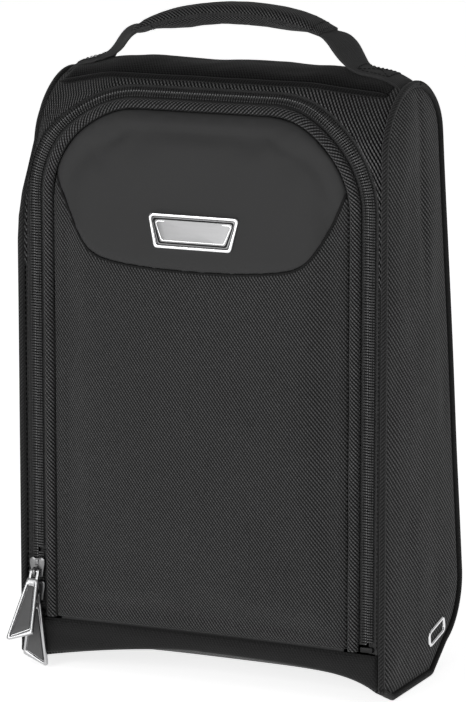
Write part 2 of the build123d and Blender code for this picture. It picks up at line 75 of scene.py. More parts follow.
SEAM_BOX = cad_box("right_seam_binding")
SIDE_X = SEAM_BOX[1][0]
FRONT_Y = SEAM_BOX[0][1]
TOP_RADIUS = 43.2
TOP_Y, TOP_Z = FRONT_Y + TOP_RADIUS, SEAM_BOX[1][2] - TOP_RADIUS
SKIN = 1.2  # the fabric's outer face lies this far inside the seams' outer edge
SKIN_RADIUS = TOP_RADIUS - SKIN
FRONT_TOE = 8.0
BACK_LEAN = math.radians(8.0)
BACK_DROP = 270.0
REAR_KNEE, REAR_SLOPE = (53.0, 27.5), (36.0, 15.0)
SEAT_BACK, SEAT_FRONT = 14.0, -46.0
PANEL_X = cad_box("back_panel")[1][0]

CHAIN_X = 104.5
ARCH_TOP, ARCH_RADIUS = 343.5, 62.0
SEAM_Z = 30.0
WELT_OUT, WELT_IN = -5.3, -11.8
PILLOW_EDGE = WELT_IN - 0.2
FLAP_LOW = SEAM_Z + 1.0
PARKED_TOP = 70.0
COIL_LOW = SEAM_Z + 5.0

HANDLE_Y = -20.0
BAND_X = cad_box("top_band")[1][0]
BAND_FRONT = cad_box("band_piping")[0][1] + 1.2
BAND_BACK = cad_box("top_band")[1][1]


def smooth(t):
    """0 before 0, 1 after 1, and a smooth step between."""
    t = np.clip(t, 0, 1)
    return t * t * (3 - 2 * t)


# ---------------------------------------------------------------- side outline


def three_point_arc(a, b, c, count):
    """Points on the circle through a, b and c, from a to c."""
    a, b, c = (np.array(p, float) for p in (a, b, c))
    mids = np.array([b - a, c - b]) * 2
    right = np.array([b @ b - a @ a, c @ c - b @ b])
    centre = np.linalg.solve(mids, right)
    angles = [math.atan2(*(p - centre)[::-1]) for p in (a, b, c)]
    angles = np.unwrap(angles)
    turn = np.linspace(angles[0], angles[2], count)
    radius = np.linalg.norm(a - centre)
    return centre + radius * np.stack([np.cos(turn), np.sin(turn)], 1)


def resample(points, step=None, count=None, closed=False):
    """The same line with even spacing."""
    points = np.asarray(points, float)
    if closed:
        points = np.vstack([points, points[:1]])
    lengths = np.concatenate([[0], np.cumsum(np.linalg.norm(np.diff(points, axis=0), axis=1))])
    if count is None:
        count = max(2, int(round(lengths[-1] / step)) + 1)
    at = np.linspace(0, lengths[-1], count + 1 if closed else count)
    line = np.stack([np.interp(at, lengths, points[:, k]) for k in range(points.shape[1])], 1)
    return line[:-1] if closed else line


def side_outline():
    """The closed side outline in YZ, from the front's foot up, over the top and down the back."""
    turn = np.linspace(math.pi, BACK_LEAN, 140)
    top = np.stack([TOP_Y + TOP_RADIUS * np.cos(turn), TOP_Z + TOP_RADIUS * np.sin(turn)], 1)
    drop = BACK_DROP * np.array([math.sin(BACK_LEAN), -math.cos(BACK_LEAN)])
    knee = three_point_arc(top[-1] + drop, REAR_KNEE, REAR_SLOPE, 30)
    base = [(SEAT_BACK, 0), (SEAT_FRONT, 0)]
    points = np.vstack([[(FRONT_Y, FRONT_TOE)], top, knee, base])
    return resample(points, step=1.0, closed=True)


OUTLINE = side_outline()
OUTLINE_LENGTH = float(np.linalg.norm(np.diff(np.vstack([OUTLINE, OUTLINE[:1]]), axis=0), axis=1).sum())
OUTLINE_STEP = OUTLINE_LENGTH / len(OUTLINE)
CORNER_SPREAD = 4  # steps of the outline to each side of a rounded normal


def outline_normals():
    """Outward normals of the outline, rounded over its corners."""
    ahead = np.roll(OUTLINE, -CORNER_SPREAD, axis=0) - np.roll(OUTLINE, CORNER_SPREAD, axis=0)
    ahead /= np.linalg.norm(ahead, axis=1)[:, None]
    return np.stack([-ahead[:, 1], ahead[:, 0]], 1)


NORMALS = outline_normals()
TOP_S = TOP_Z - FRONT_TOE  # where the front wall starts to roll back


def wall(x, s, lift=0.0):
    """Points of the walls, from x, the distance along the outline and the lift off the fabric."""
    x, s, lift = np.broadcast_arrays(np.asarray(x, float), s, lift)
    at = (s / OUTLINE_STEP) % len(OUTLINE)
    low = at.astype(int)
    part = (at - low)[..., None]
    high = (low + 1) % len(OUTLINE)
    point = OUTLINE[low] * (1 - part) + OUTLINE[high] * part
    normal = NORMALS[low] * (1 - part) + NORMALS[high] * part
    yz = point + normal * (lift - SKIN)[..., None]
    return np.stack([x, yz[..., 0], yz[..., 1]], -1)


def s_of_z(z):
    """Distance along the outline of the front wall's point at that height."""
    z = np.asarray(z, float)
    roll = np.arcsin(np.clip((z - TOP_Z) / SKIN_RADIUS, 0, 0.999))
    return np.where(z <= TOP_Z, z - FRONT_TOE, TOP_S + TOP_RADIUS * roll)


def z_of_s(s):
    """Height of the front wall's point at that distance along the outline."""
    roll = np.clip((np.asarray(s, float) - TOP_S) / TOP_RADIUS, 0, 1.5)
    return np.where(s <= TOP_S, s + FRONT_TOE, TOP_Z + SKIN_RADIUS * np.sin(roll))


def front(x, z, lift=0.0):
    """Points of the front wall, from x, height and lift."""
    return wall(x, s_of_z(z), lift)


def s_at_back(y):
    """Distance along the outline of the point under the back, by its y, on the way down."""
    top = int(TOP_S / OUTLINE_STEP) + 60
    return (top + int(np.argmin(np.abs(OUTLINE[top : top + 70, 0] - y)))) * OUTLINE_STEP


# ---------------------------------------------------------------- the zip's arch


def arch_line():
    """The zip's centre line in XZ, from the left foot over the top to the right foot."""
    centre_x, centre_z = CHAIN_X - ARCH_RADIUS, ARCH_TOP - ARCH_RADIUS
    turn = np.linspace(math.pi / 2, 0, 80)
    right = np.stack([centre_x + ARCH_RADIUS * np.cos(turn), centre_z + ARCH_RADIUS * np.sin(turn)], 1)
    left = right[::-1] * [-1, 1]
    return resample(np.vstack([[(-CHAIN_X, SEAM_Z)], left, right, [(CHAIN_X, SEAM_Z)]]), step=1.0)


ARCH = arch_line()
ARCH_STEP = float(np.linalg.norm(ARCH[1] - ARCH[0]))
ARCH_LENGTH = ARCH_STEP * (len(ARCH) - 1)


def arch(t, offset=0.0):
    """x and z of the arch grown by offset along the cloth, at the distance t along the zip's centre."""
    t, offset = np.broadcast_arrays(np.asarray(t, float), offset)
    at = np.clip(t / ARCH_STEP, 0, len(ARCH) - 1.001)
    low = at.astype(int)
    part = (at - low)[..., None]
    ahead = ARCH[low + 1] - ARCH[low]
    ahead /= np.linalg.norm(ahead, axis=-1)[..., None]
    point = ARCH[low] + (ARCH[low + 1] - ARCH[low]) * part
    grown = np.stack([-ahead[..., 1], ahead[..., 0]], -1) * offset[..., None]
    return point[..., 0] + grown[..., 0], z_of_s(s_of_z(point[..., 1]) + grown[..., 1])


def arch_depth(x, s, grow=PILLOW_EDGE, low=FLAP_LOW):
    """How far inside the arch, grown by that offset, a point of the front wall's cloth lies."""
    edge_x, edge_z = arch(np.arange(0, ARCH_LENGTH, 1.5), grow)
    edge = np.stack([edge_x, s_of_z(edge_z)], -1)
    near = np.full(len(x), np.inf)
    for ex, es in edge:
        near = np.minimum(near, np.hypot(x - ex, s - es))
    feet = [(edge[-1, 0], -500.0), (edge[0, 0], -500.0)]
    inside = inside_loop(np.stack([x, s], -1), np.vstack([edge, feet]))
    return np.minimum(np.where(inside, near, -near), s - s_of_z(low))


# ---------------------------------------------------------------- soft shape of the whole bag


def field(points, scale, seed=0.0):
    """Smooth noise from -1 to 1 at each point; scale is the size of its lumps in millimetres."""
    offset = Vector((seed, seed * 0.7, -seed))
    return np.array([noise.noise(Vector(p) / scale + offset) for p in points])


def lumps(a, b, *layers, third=0):
    """Uneven height over flat cloth: a sum of layers, each a lump size, a seed and a height."""
    spots = np.column_stack([a, b, a * 0 + third])
    return sum(field(spots, size, seed) * height for size, seed, height in layers)


LEAN_Z = (254.0, 268.0, 282.0, 296.0, 313.0, 332.0, 362.0)
LEAN_IN = (0.0, 0.8, 3.2, 7.2, 11.6, 13.2, 13.2)
CORNER_DROOP = (4.2, 5.5)  # of the right and the left top corner
DROOP_X, DROOP_X_REACH = 60, 52
DROOP_Z, DROOP_Z_REACH = 318, 36
WANDER_SIZE, WANDER_SEED, WANDER_HEIGHT = 70.0, 3.0, 0.7
SLIDER_TOP = 292  # the sliders' column stays true below this height


def settle(points):
    """The slump of the standing bag: its top corners droop, its top left leans in, its faces wander."""
    points = np.array(points, float)
    x, y, z = points.T
    slump = np.where(x > 0, *CORNER_DROOP)
    corner = smooth((np.abs(x) - DROOP_X) / DROOP_X_REACH) * smooth((z - DROOP_Z) / DROOP_Z_REACH)
    high = smooth((z - 80) / 60) * smooth((352 - z) / 30)
    slider_run = smooth((18 - np.abs(x + CHAIN_X)) / 10) * smooth((SLIDER_TOP - z) / 20)
    wander = field(points, WANDER_SIZE, WANDER_SEED) * WANDER_HEIGHT * high * (1 - slider_run)
    rise = np.clip((z - (ARCH_TOP - ARCH_RADIUS)) / ARCH_RADIUS, 0, 0.97)
    outside_arch = CHAIN_X + 4 - ARCH_RADIUS * (1 - np.sqrt(1 - rise**2))
    beside = np.clip((-x - outside_arch) / (SIDE_X - outside_arch), 0, 1)
    points[:, 0] += np.interp(z, LEAN_Z, LEAN_IN) * beside
    points[:, 2] -= slump * corner
    points[:, 1] += wander * np.sign(y + 10)
    return points


def settled(rows):
    """Rows of section points, slumped with the bag."""
    return settle(rows.reshape(-1, 3)).reshape(rows.shape)


# ---------------------------------------------------------------- mesh helpers


def make_object(name, points, faces, material, cloth=None, sharp=None, inner=None, face_slots=None):
    """A mesh object from points in millimetres. cloth holds each point's place in the flat cloth."""
    mesh = bpy.data.meshes.new(name)
    mesh.from_pydata((np.asarray(points, float) * MM).tolist(), [], [list(map(int, f)) for f in faces])
    if cloth is not None:
        flat = np.zeros((len(points), 3), np.float32)
        flat[:, : np.shape(cloth)[1]] = np.asarray(cloth) * MM
        mesh.attributes.new("cloth", "FLOAT_VECTOR", "POINT").data.foreach_set("vector", flat.ravel())
    mesh.materials.append(material)
    if inner is not None:
        mesh.materials.append(inner)
        mesh.polygons.foreach_set("material_index", np.asarray(face_slots, np.int32))
    shape = bmesh.new()
    shape.from_mesh(mesh)
    bmesh.ops.recalc_face_normals(shape, faces=shape.faces)
    shape.to_mesh(mesh)
    shape.free()
    mesh.shade_smooth()
    if sharp:
        mesh.set_sharp_from_angle(angle=math.radians(sharp))
    made = bpy.data.objects.new(name, mesh)
    bpy.context.scene.collection.objects.link(made)
    return made


def place(made, body, slot, *nodes):
    """Rides a piece on its body and hides the CAD nodes it stands for; slot is not used."""
    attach(made, body)
    if nodes:
        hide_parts(*nodes)
    return made


def inside_loop(points, loop):
    """Which points lie inside a closed polygon."""
    x, y = points.T
    found = np.zeros(len(points), bool)
    for (x0, y0), (x1, y1) in zip(loop, np.roll(loop, -1, axis=0)):
        if y0 != y1:
            found ^= ((y0 > y) != (y1 > y)) & (x < (x1 - x0) * (y - y0) / (y1 - y0) + x0)
    return found


def grown(loop, by):
    """A loop moved outwards, or inwards when by is negative."""
    ahead = np.roll(loop, -1, axis=0) - np.roll(loop, 1, axis=0)
    ahead /= np.maximum(np.linalg.norm(ahead, axis=1), 1e-9)[:, None]
    normal = np.stack([ahead[:, 1], -ahead[:, 0]], 1)
    x, y = loop.T
    if np.sum(x * np.roll(y, -1) - y * np.roll(x, -1)) < 0:
        normal = -normal
    return loop + normal * by


def rim_distance(flat, loop):
    """How far each point lies from a closed outline."""
    near = np.full(len(flat), np.inf)
    for corner in resample(loop, step=1.0, closed=True):
        near = np.minimum(near, np.hypot(*(flat - corner).T))
    return near


EDGE_ROWS = (0.9, 2.1)  # extra rows of points beside a panel's seams


def fill(loop, spacing):
    """Triangles over a polygon, with even points inside it: the points and the triangles."""
    loop = np.asarray(loop, float)
    low, high = loop.min(0), loop.max(0)
    rows = np.arange(low[1] + spacing / 2, high[1], spacing * 0.87)
    columns = np.arange(low[0] + spacing / 2, high[0], spacing)
    grid = np.array([(c + spacing / 2 * (k % 2), r) for k, r in enumerate(rows) for c in columns])
    grid = grid[inside_loop(grid, loop)]
    grid = grid[rim_distance(grid, loop) > EDGE_ROWS[-1] + spacing * 0.5]
    for inset in EDGE_ROWS:
        row = grown(loop, -inset)
        row = row[inside_loop(row, loop)]
        grid = np.vstack([grid, row[rim_distance(row, loop) > inset * 0.85]])
    given = [Vector(p) for p in np.vstack([loop, grid])]
    points, _, faces, _, _, _ = delaunay_2d_cdt(given, [], [list(range(len(loop)))], 1, 1e-5)
    return np.array([tuple(p) for p in points]), np.array([f[:3] for f in faces])


def point_normals(points, faces):
    """Average normal of the triangles round each point."""
    a, b, c = (points[faces[:, k]] for k in range(3))
    across = np.cross(b - a, c - a)
    total = np.zeros_like(points)
    for k in range(3):
        np.add.at(total, faces[:, k], across)
    return total / np.maximum(np.linalg.norm(total, axis=1), 1e-9)[:, None]


def rim_edges(faces):
    """Edges that only one triangle has, in that triangle's direction."""
    pairs = np.vstack([faces[:, [0, 1]], faces[:, [1, 2]], faces[:, [2, 0]]])
    held = {(int(a), int(b)) for a, b in pairs}
    return [(a, b) for a, b in held if (b, a) not in held]


def closed_layer(face, back_face, faces):
    """A closed form between two faces that have the same triangles."""
    count = len(face)
    rim = [(a, b, b + count, a + count) for a, b in sorted(rim_edges(faces))]
    both = [tuple(f) for f in faces] + [tuple(f[::-1] + count) for f in faces]
    return np.vstack([face, back_face]), both + rim


def thicken(points, faces, thick, outward):
    """A closed layer: the given face and a second one, thick behind it."""
    normals = point_normals(points, faces)
    if np.sum(normals * outward) < 0:
        faces, normals = faces[:, ::-1], -normals
    return *closed_layer(points, points - normals * thick, faces), len(faces)


def cloth_panel(name, loop, spacing, shape, thick, material, outward, inner=None):
    """A cut panel of cloth: its flat outline filled, bent by shape(), and given its thickness."""
    flat, faces = fill(loop, spacing)
    points = shape(flat)
    solid, all_faces, count = thicken(points, faces, thick, np.asarray(outward, float))
    slots = [0] * count + [1] * count + [0] * (len(all_faces) - 2 * count)
    cloth = np.vstack([flat, flat])
    return make_object(name, solid, all_faces, material, cloth, inner=inner, face_slots=slots)


def sewn(name, loop, spacing, shape, thick, material, outward, nodes, body="bag"):
    """A panel of cloth: woven and lined behind, or the lining itself."""
    is_lining = material is LINING
    inner = None if is_lining else LINING
    made = cloth_panel(name, loop, spacing, shape, thick, material, outward, inner)
    place(made, body, "lining" if is_lining else "woven_fabric", *nodes)


def rectangle(half, low, high, step):
    """The evenly spaced outline of a panel from -half to half and from low to high."""
    corners = np.array([(-half, low), (half, low), (half, high), (-half, high)], float)
    return resample(corners, step=step, closed=True)


def strip(rows, closed_path=False):
    """A tube through rows of equal count, closed at its ends or joined end to end: points and faces."""
    total, count = rows.shape[:2]
    faces = []
    for i in range(total if closed_path else total - 1):
        j = (i + 1) % total
        for k in range(count):
            n = (k + 1) % count
            faces.append((i * count + k, i * count + n, j * count + n, j * count + k))
    if not closed_path:
        faces.append(tuple(range(count))[::-1])
        faces.append(tuple((total - 1) * count + k for k in range(count)))
    return rows.reshape(-1, 3), faces


def swept(name, rows, material):
    """A tube through rows of section points, with its cloth coordinates along and round it."""
    rows = np.asarray(rows, float)
    points, faces = strip(rows)
    along, around = (
        np.concatenate([[0], np.cumsum(np.linalg.norm(np.diff(line, axis=0), axis=1))])
        for line in (rows.mean(1), rows[len(rows) // 2])
    )
    cloth = np.stack(np.meshgrid(along, around, indexing="ij"), -1).reshape(-1, 2)
    return make_object(name, points, faces, material, cloth)


def arch_sweep(name, section, start, end, step, material, wobble=None):
    """A tube along the zip's arch; the section lists (offset, lift) pairs."""
    t = resample(np.array([[start], [end]]), step=step)[:, 0]
    offsets, lifts = np.array(section).T
    rows = []
    for at in t:
        x, z = arch(at, offsets + (wobble(at) if wobble else 0.0))
        rows.append(front(x, z, lifts))
    return swept(name, settled(np.array(rows)), material)


def frames_along(path, up):
    """Two directions across a path at each point: one nearest up, and one square to it."""
    ahead = np.gradient(path, axis=0)
    ahead /= np.linalg.norm(ahead, axis=1)[:, None]
    up = np.broadcast_to(np.asarray(up, float), path.shape)
    side = np.cross(ahead, up)
    side /= np.linalg.norm(side, axis=1)[:, None]
    return np.cross(side, ahead), side


def ring(radius_a, radius_b, count, power=2.0):
    """A closed section: an ellipse, or a rounded bar when power is over 2."""
    turn = np.linspace(0, 2 * math.pi, count, endpoint=False)
    c, s = np.cos(turn), np.sin(turn)
    wide, high = (np.sign(v) * np.abs(v) ** (2 / power) for v in (c, s))
    return np.stack([radius_a * wide, radius_b * high], 1)


def merge(parts):
    """Several (points, faces) pairs as one."""
    points, faces, base = [], [], 0
    for p, f in parts:
        points.append(p)
        faces += [tuple(int(i) + base for i in face) for face in f]
        base += len(p)
    return np.vstack(points), faces


STITCH_FLATNESS = 0.8


def capsule(start, end, normal, radius):
    """One stitch: a short rounded thread from start to end."""
    start, end, normal = (np.asarray(v, float) for v in (start, end, normal))
    ahead = end - start
    side = np.cross(ahead, normal)
    side /= max(np.linalg.norm(side), 1e-9)
    rows = []
    for part in (0, 0.25, 0.5, 0.75, 1):
        size = radius * (0.35 + 0.65 * math.sin(math.pi * part) ** 0.6)
        arc = math.sin(math.pi * part) * radius * 0.7
        centre = start + ahead * part + normal * arc
        rows.append([centre + side * a + normal * b for a, b in ring(size, size * STITCH_FLATNESS, 6)])
    return strip(np.array(rows))


def stitches(name, line, normals, pitch, share, radius, body, slot):
    """A row of stitches along a line of points on the cloth; each fills its share of the pitch."""
    line, normals = np.asarray(line, float), np.asarray(normals, float)
    joined = resample(np.hstack([line, normals]), step=pitch)
    parts = []
    for a, b in zip(joined[:-1], joined[1:]):
        normal = a[3:] / np.linalg.norm(a[3:])
        parts.append(capsule(a[:3], a[:3] + (b[:3] - a[:3]) * share, normal, radius))
    points, faces = merge(parts)
    place(make_object(name, points, faces, THREAD, points[:, :2]), body, slot)


# ---------------------------------------------------------------- materials


def shader(name):
    """A new material with an empty Principled surface: the material, its tree and its shader."""
    made = bpy.data.materials.new(name)
    made.use_nodes = True
    tree = made.node_tree
    principled = tree.nodes["Principled BSDF"]
    return made, tree, principled


def node(tree, kind, **settings):
    """A node, with its properties and its numbered inputs set."""
    made = tree.nodes.new(kind)
    for key, value in settings.items():
        if key.startswith("in_"):
            made.inputs[int(key[3:])].default_value = value
        else:
            setattr(made, key, value)
    return made


def calc(tree, operation, a, b=None, c=None, clamp=False):
    """A Math node's output; each value is a socket or a number."""
    made = node(tree, "ShaderNodeMath", operation=operation, use_clamp=clamp)
    for index, value in enumerate((a, b, c)):
        if value is None:
            continue
        if isinstance(value, (int, float)):
            made.inputs[index].default_value = value
        else:
            tree.links.new(value, made.inputs[index])
    return made.outputs[0]


def blend_values(tree, factor, low, high):
    """low where factor is 0, high where it is 1."""
    return calc(tree, "ADD", low, calc(tree, "MULTIPLY", factor, calc(tree, "SUBTRACT", high, low)))


def cloth_coordinates(tree):
    """Sockets for the two flat directions of the cloth, in metres."""
    attribute = node(tree, "ShaderNodeAttribute", attribute_name="cloth")
    split = node(tree, "ShaderNodeSeparateXYZ")
    tree.links.new(attribute.outputs["Vector"], split.inputs[0])
    return split.outputs[0], split.outputs[1]


def object_noise(tree, scale, detail=2.0, stretch=(1, 1, 1)):
    """Noise through the object's own space, 0 to 1; scale is in lumps per metre."""
    place_in = node(tree, "ShaderNodeTexCoord")
    mapping = node(tree, "ShaderNodeMapping")
    mapping.inputs["Scale"].default_value = stretch
    texture = node(tree, "ShaderNodeTexNoise")
    texture.inputs["Scale"].default_value = scale
    texture.inputs["Detail"].default_value = detail
    tree.links.new(place_in.outputs["Object"], mapping.inputs["Vector"])
    tree.links.new(mapping.outputs[0], texture.inputs["Vector"])
    return texture.outputs[0]


def tinted(tree, strength, tint):
    """A colour socket: the tint times a strength socket."""
    mix = node(tree, "ShaderNodeVectorMath", operation="SCALE")
    mix.inputs[0].default_value = tint
    tree.links.new(strength, mix.inputs["Scale"])
    return mix.outputs[0]


def bumped(tree, principled, height, distance):
    """Sends a height socket to the shader's normal."""
    bump = node(tree, "ShaderNodeBump")
    bump.inputs["Distance"].default_value = distance
    tree.links.new(height, bump.inputs["Height"])
    tree.links.new(bump.outputs[0], principled.inputs["Normal"])


def surface(tree, principled, colour, roughness, specular):
    """Links a shader's colour and roughness sockets and sets its specular level."""
    tree.links.new(colour, principled.inputs["Base Color"])
    tree.links.new(roughness, principled.inputs["Roughness"])
    principled.inputs["Specular IOR Level"].default_value = specular


def wave_of(tree, coordinate, pitch, sharpness):
    """|sin| along a coordinate: one hump for each pitch, 0 to 1."""
    turns = calc(tree, "MULTIPLY", coordinate, math.pi / (pitch * MM))
    return calc(tree, "POWER", calc(tree, "ABSOLUTE", calc(tree, "SINE", turns)), sharpness)


def checker(tree, u, v, pitch_u, pitch_v):
    """0 or 1 by turns, for each yarn crossing."""
    joined = node(tree, "ShaderNodeCombineXYZ", in_2=0.5)
    tree.links.new(calc(tree, "DIVIDE", u, pitch_u * MM), joined.inputs[0])
    tree.links.new(calc(tree, "DIVIDE", v, pitch_v * MM), joined.inputs[1])
    texture = node(tree, "ShaderNodeTexChecker")
    texture.inputs["Scale"].default_value = 1.0
    tree.links.new(joined.outputs[0], texture.inputs["Vector"])
    return texture.outputs["Fac"]


def woven(name, tint, pitch, pitch_v=1.3, contrast=1.0, roughness=0.7, specular=0.15, relief=0.14):
    """Heavy woven nylon: yarns over and under each other, whose floats line up in slanting rows; its colour
    holds painted glints on the floats and painted shade between the yarns.
    """
    made, tree, principled = shader(name)
    u, v = cloth_coordinates(tree)
    warp, weft = wave_of(tree, u, pitch, 0.7), wave_of(tree, v, pitch_v, 0.7)
    over = checker(tree, u, v, pitch, pitch_v)
    along_warp = calc(tree, "MULTIPLY", warp, blend_values(tree, weft, 0.55, 1.0))
    along_weft = calc(tree, "MULTIPLY", weft, blend_values(tree, warp, 0.55, 1.0))
    height = blend_values(tree, over, along_weft, along_warp)
    slant_u = calc(tree, "MULTIPLY", u, math.pi / (pitch * MM))
    slant_v = calc(tree, "MULTIPLY", v, math.pi / (pitch_v * MM))
    slant = calc(tree, "COSINE", calc(tree, "ADD", slant_u, slant_v))
    # painted light in the colour: the slanting rows and the raised floats are lighter as painted glints,
    # the dips between the yarns darker as painted shade
    rows = calc(tree, "MULTIPLY_ADD", slant, 0.9 * contrast, 1.0)
    shade = blend_values(tree, over, 1.0 - 0.3 * contrast, 1.0 + 0.25 * contrast)
    worn = blend_values(tree, object_noise(tree, 22.0, 3.0), 0.86, 1.16)
    fuzz = blend_values(tree, object_noise(tree, 1100.0, 1.0), 1.0 - 0.45 * contrast, 1.0 + 0.45 * contrast)
    yarn = calc(tree, "MULTIPLY", blend_values(tree, height, 0.6, shade), rows)
    light = calc(tree, "MULTIPLY", yarn, calc(tree, "MULTIPLY", worn, fuzz))
    rough = blend_values(tree, height, min(roughness + 0.2, 1.0), roughness)
    surface(tree, principled, tinted(tree, light, tint), rough, specular)
    principled.inputs["Sheen Weight"].default_value = 0.1
    principled.inputs["Sheen Roughness"].default_value = 0.5
    bumped(tree, principled, height, relief * MM)
    return made


def ribbed(name, tint, pitch, cross, roughness=0.7, sheen=0.2, contrast=0.5, relief=0.2):
    """Narrow woven goods: ribs across u, fine threads across v; the colour is lighter on the ribs' crowns
    and darker between them, painted highlight and painted shade.
    """
    made, tree, principled = shader(name)
    u, v = cloth_coordinates(tree)
    rib = wave_of(tree, u, pitch, 0.6)
    thread = wave_of(tree, v, cross, 0.8)
    height = calc(tree, "MULTIPLY", rib, blend_values(tree, thread, 0.6, 1.0))
    worn = blend_values(tree, object_noise(tree, 60.0, 3.0), 0.82, 1.18)
    # painted highlight on the ribs' crowns and painted shade between the ribs
    light = calc(tree, "MULTIPLY", blend_values(tree, height, 1 - contrast, 1 + contrast * 0.6), worn)
    rough = blend_values(tree, height, min(1.0, roughness + 0.15), roughness)
    surface(tree, principled, tinted(tree, light, tint), rough, 0.3)
    principled.inputs["Sheen Weight"].default_value = sheen
    bumped(tree, principled, height, relief * MM)
    return made


def grained(name, tint, grain, roughness, specular, relief):
    """Moulded or coated material: a cellular grain, uneven gloss and slight scuffing."""
    made, tree, principled = shader(name)
    cells = node(tree, "ShaderNodeTexVoronoi", feature="SMOOTH_F1")
    cells.inputs["Scale"].default_value = 1.0 / (grain * MM)
    place_in = node(tree, "ShaderNodeTexCoord")
    tree.links.new(place_in.outputs["Object"], cells.inputs["Vector"])
    fine = object_noise(tree, 900.0, 2.0)
    height = calc(tree, "ADD", cells.outputs["Distance"], calc(tree, "MULTIPLY", fine, 0.4))
    scuffed = object_noise(tree, 45.0, 5.0)
    light = calc(
        tree, "MULTIPLY", blend_values(tree, scuffed, 0.93, 1.07), blend_values(tree, height, 1.04, 0.95)
    )
    rough = blend_values(tree, scuffed, roughness - 0.05, roughness + 0.05)
    surface(tree, principled, tinted(tree, light, tint), rough, specular)
    bumped(tree, principled, height, relief * MM)
    return made


def metal(name, tint, roughness, brush=(1, 1, 1), spread=0.12, dull=0.85, relief=0.02):
    """Plated metal: brushed streaks, a darker film in places and worn bright spots."""
    made, tree, principled = shader(name)
    streaks = object_noise(tree, 700.0, 4.0, brush)
    film = object_noise(tree, 120.0, 4.0)
    light = calc(
        tree, "MULTIPLY", blend_values(tree, streaks, 0.9, 1.08), blend_values(tree, film, dull, 1.05)
    )
    tree.links.new(tinted(tree, light, tint), principled.inputs["Base Color"])
    rough = calc(tree, "ADD", roughness - spread / 2, calc(tree, "MULTIPLY", film, spread), clamp=True)
    streaked = calc(tree, "ADD", rough, calc(tree, "MULTIPLY", streaks, 0.06))
    tree.links.new(streaked, principled.inputs["Roughness"])
    principled.inputs["Metallic"].default_value = 1.0
    bumped(tree, principled, streaks, relief * MM)
    return made


def grey(value):
    return (value, value, value * 1.01)


# copies of the one woven fabric for the regions of the bag, each with its tint and gloss set to how light
# or dark that region looks; the lower tints of the side, the hem and the band are partly painted shade
WOVEN = woven("woven_fabric", grey(0.0262), 0.97, contrast=1.2)
SIDE = woven("woven_fabric_side", grey(0.023), 1.7, 1.5, contrast=1.9, specular=0.02)
YOKE = woven("woven_fabric_top", grey(0.0265), 1.1, 1.9, contrast=1.9, specular=0.03)
GRIP = woven("woven_fabric_grip", grey(0.028), 1.1, 1.1, contrast=1.3, roughness=0.9, specular=0.02)
HEM = woven("woven_fabric_hem", grey(0.0115), 0.97, contrast=0.4)
BAND = woven("woven_fabric_band", grey(0.0075), 0.9, 1.5, contrast=0.9, specular=0.03)
FOLD = woven("woven_fabric_fold", grey(0.024), 1.1, 1.1, contrast=0.6, specular=0.04)
PANEL = grained("smooth_panel", grey(0.029), 0.45, 0.65, specular=0.18, relief=0.03)
WELT = woven("welt_cloth", grey(0.029), 1.2, 1.2, contrast=1.5, specular=0.08, relief=0.12)
BINDING = ribbed("binding", grey(0.004), 1.0, 0.5, roughness=0.75, sheen=0.03, contrast=0.35)
LINING = woven("lining", grey(0.04), 0.45, 0.45, contrast=0.3, roughness=0.5, relief=0.05)
FOAM = grained("foam", grey(0.10), 0.8, 0.9, specular=0.15, relief=0.25)
BOARD = grained("board", grey(0.05), 0.5, 0.7, specular=0.3, relief=0.08)
TAPE = ribbed("zip_tape", grey(0.025), 0.9, 0.55, roughness=0.7, sheen=0.1, contrast=0.5)
WEBBING = ribbed("webbing", grey(0.028), 0.75, 1.4, roughness=0.8, sheen=0.04, contrast=0.9, relief=0.25)
THREAD = ribbed("thread", grey(0.005), 0.3, 0.3, roughness=0.7, sheen=0.03, contrast=0.4, relief=0.05)
SLIDER_METAL = metal("slider_metal", grey(0.20), 0.3, (1, 1, 0.2))
STOP_METAL = metal("stop_metal", grey(0.03), 0.5, (1, 1, 0.2))
PULL_METAL = metal("pull_metal", grey(0.50), 0.26, (1, 1, 0.15))
PULL_INLAY = grained("pull_inlay", grey(0.075), 0.35, 0.5, specular=0.4, relief=0.05)
BADGE_METAL = metal("badge_metal", grey(0.25), 0.36, (0.06, 1, 1), relief=0.01)
BADGE_BRIGHT = metal("badge_bright", grey(0.80), 0.12, (1, 1, 1), spread=0.06, dull=0.93, relief=0.004)
# a near-black finish that is painted shade: it stands for the shade in the badge's border groove and along
# the upper panel's seam
GROOVE_PAINTED_SHADE = grained("groove_painted_shade", grey(0.01), 0.3, 0.7, specular=0.1, relief=0.02)


def zip_coil():
    """Nylon coil: dark loops with a painted highlight on their heads along the zip's centre."""
    made, tree, principled = shader("zip_coil")
    _, offset = cloth_coordinates(tree)
    away = calc(tree, "DIVIDE", calc(tree, "ABSOLUTE", offset), 0.85 * MM)
    near = calc(tree, "SUBTRACT", 1.0, away, clamp=True)
    worn = blend_values(tree, object_noise(tree, 300.0, 3.0), 0.75, 1.25)
    # the heads near the zip's centre are painted up to eleven times lighter: a painted highlight
    light = calc(tree, "MULTIPLY", blend_values(tree, near, 1.0, 11.0), worn)
    surface(tree, principled, tinted(tree, light, grey(0.024)), blend_values(tree, near, 0.5, 0.3), 0.5)
    bumped(tree, principled, worn, 0.03 * MM)
    return made


COIL = zip_coil()

# ---------------------------------------------------------------- walls of the bag


def edge_roll(depth, drop=1.0, reach=2.5):
    """How far cloth dips where it turns into a seam, by the distance from that seam."""
    return -drop * np.exp(-np.maximum(depth, 0) / reach)


def side_by_side(a, b):
    """Two rows of numbers as points."""
    return np.stack([np.asarray(a, float), np.asarray(b, float)], -1)


def hem_low(x):
    """Height of the hem's lower edge: it arches up, more steeply at the right foot."""
    part = np.abs(x) / PANEL_X
    left = 19.6 - 15.5 * part**1.6
    right = 19.4 - 4.0 * part**2 - 9.0 * part**8
    return np.where(x < 0, left, right)


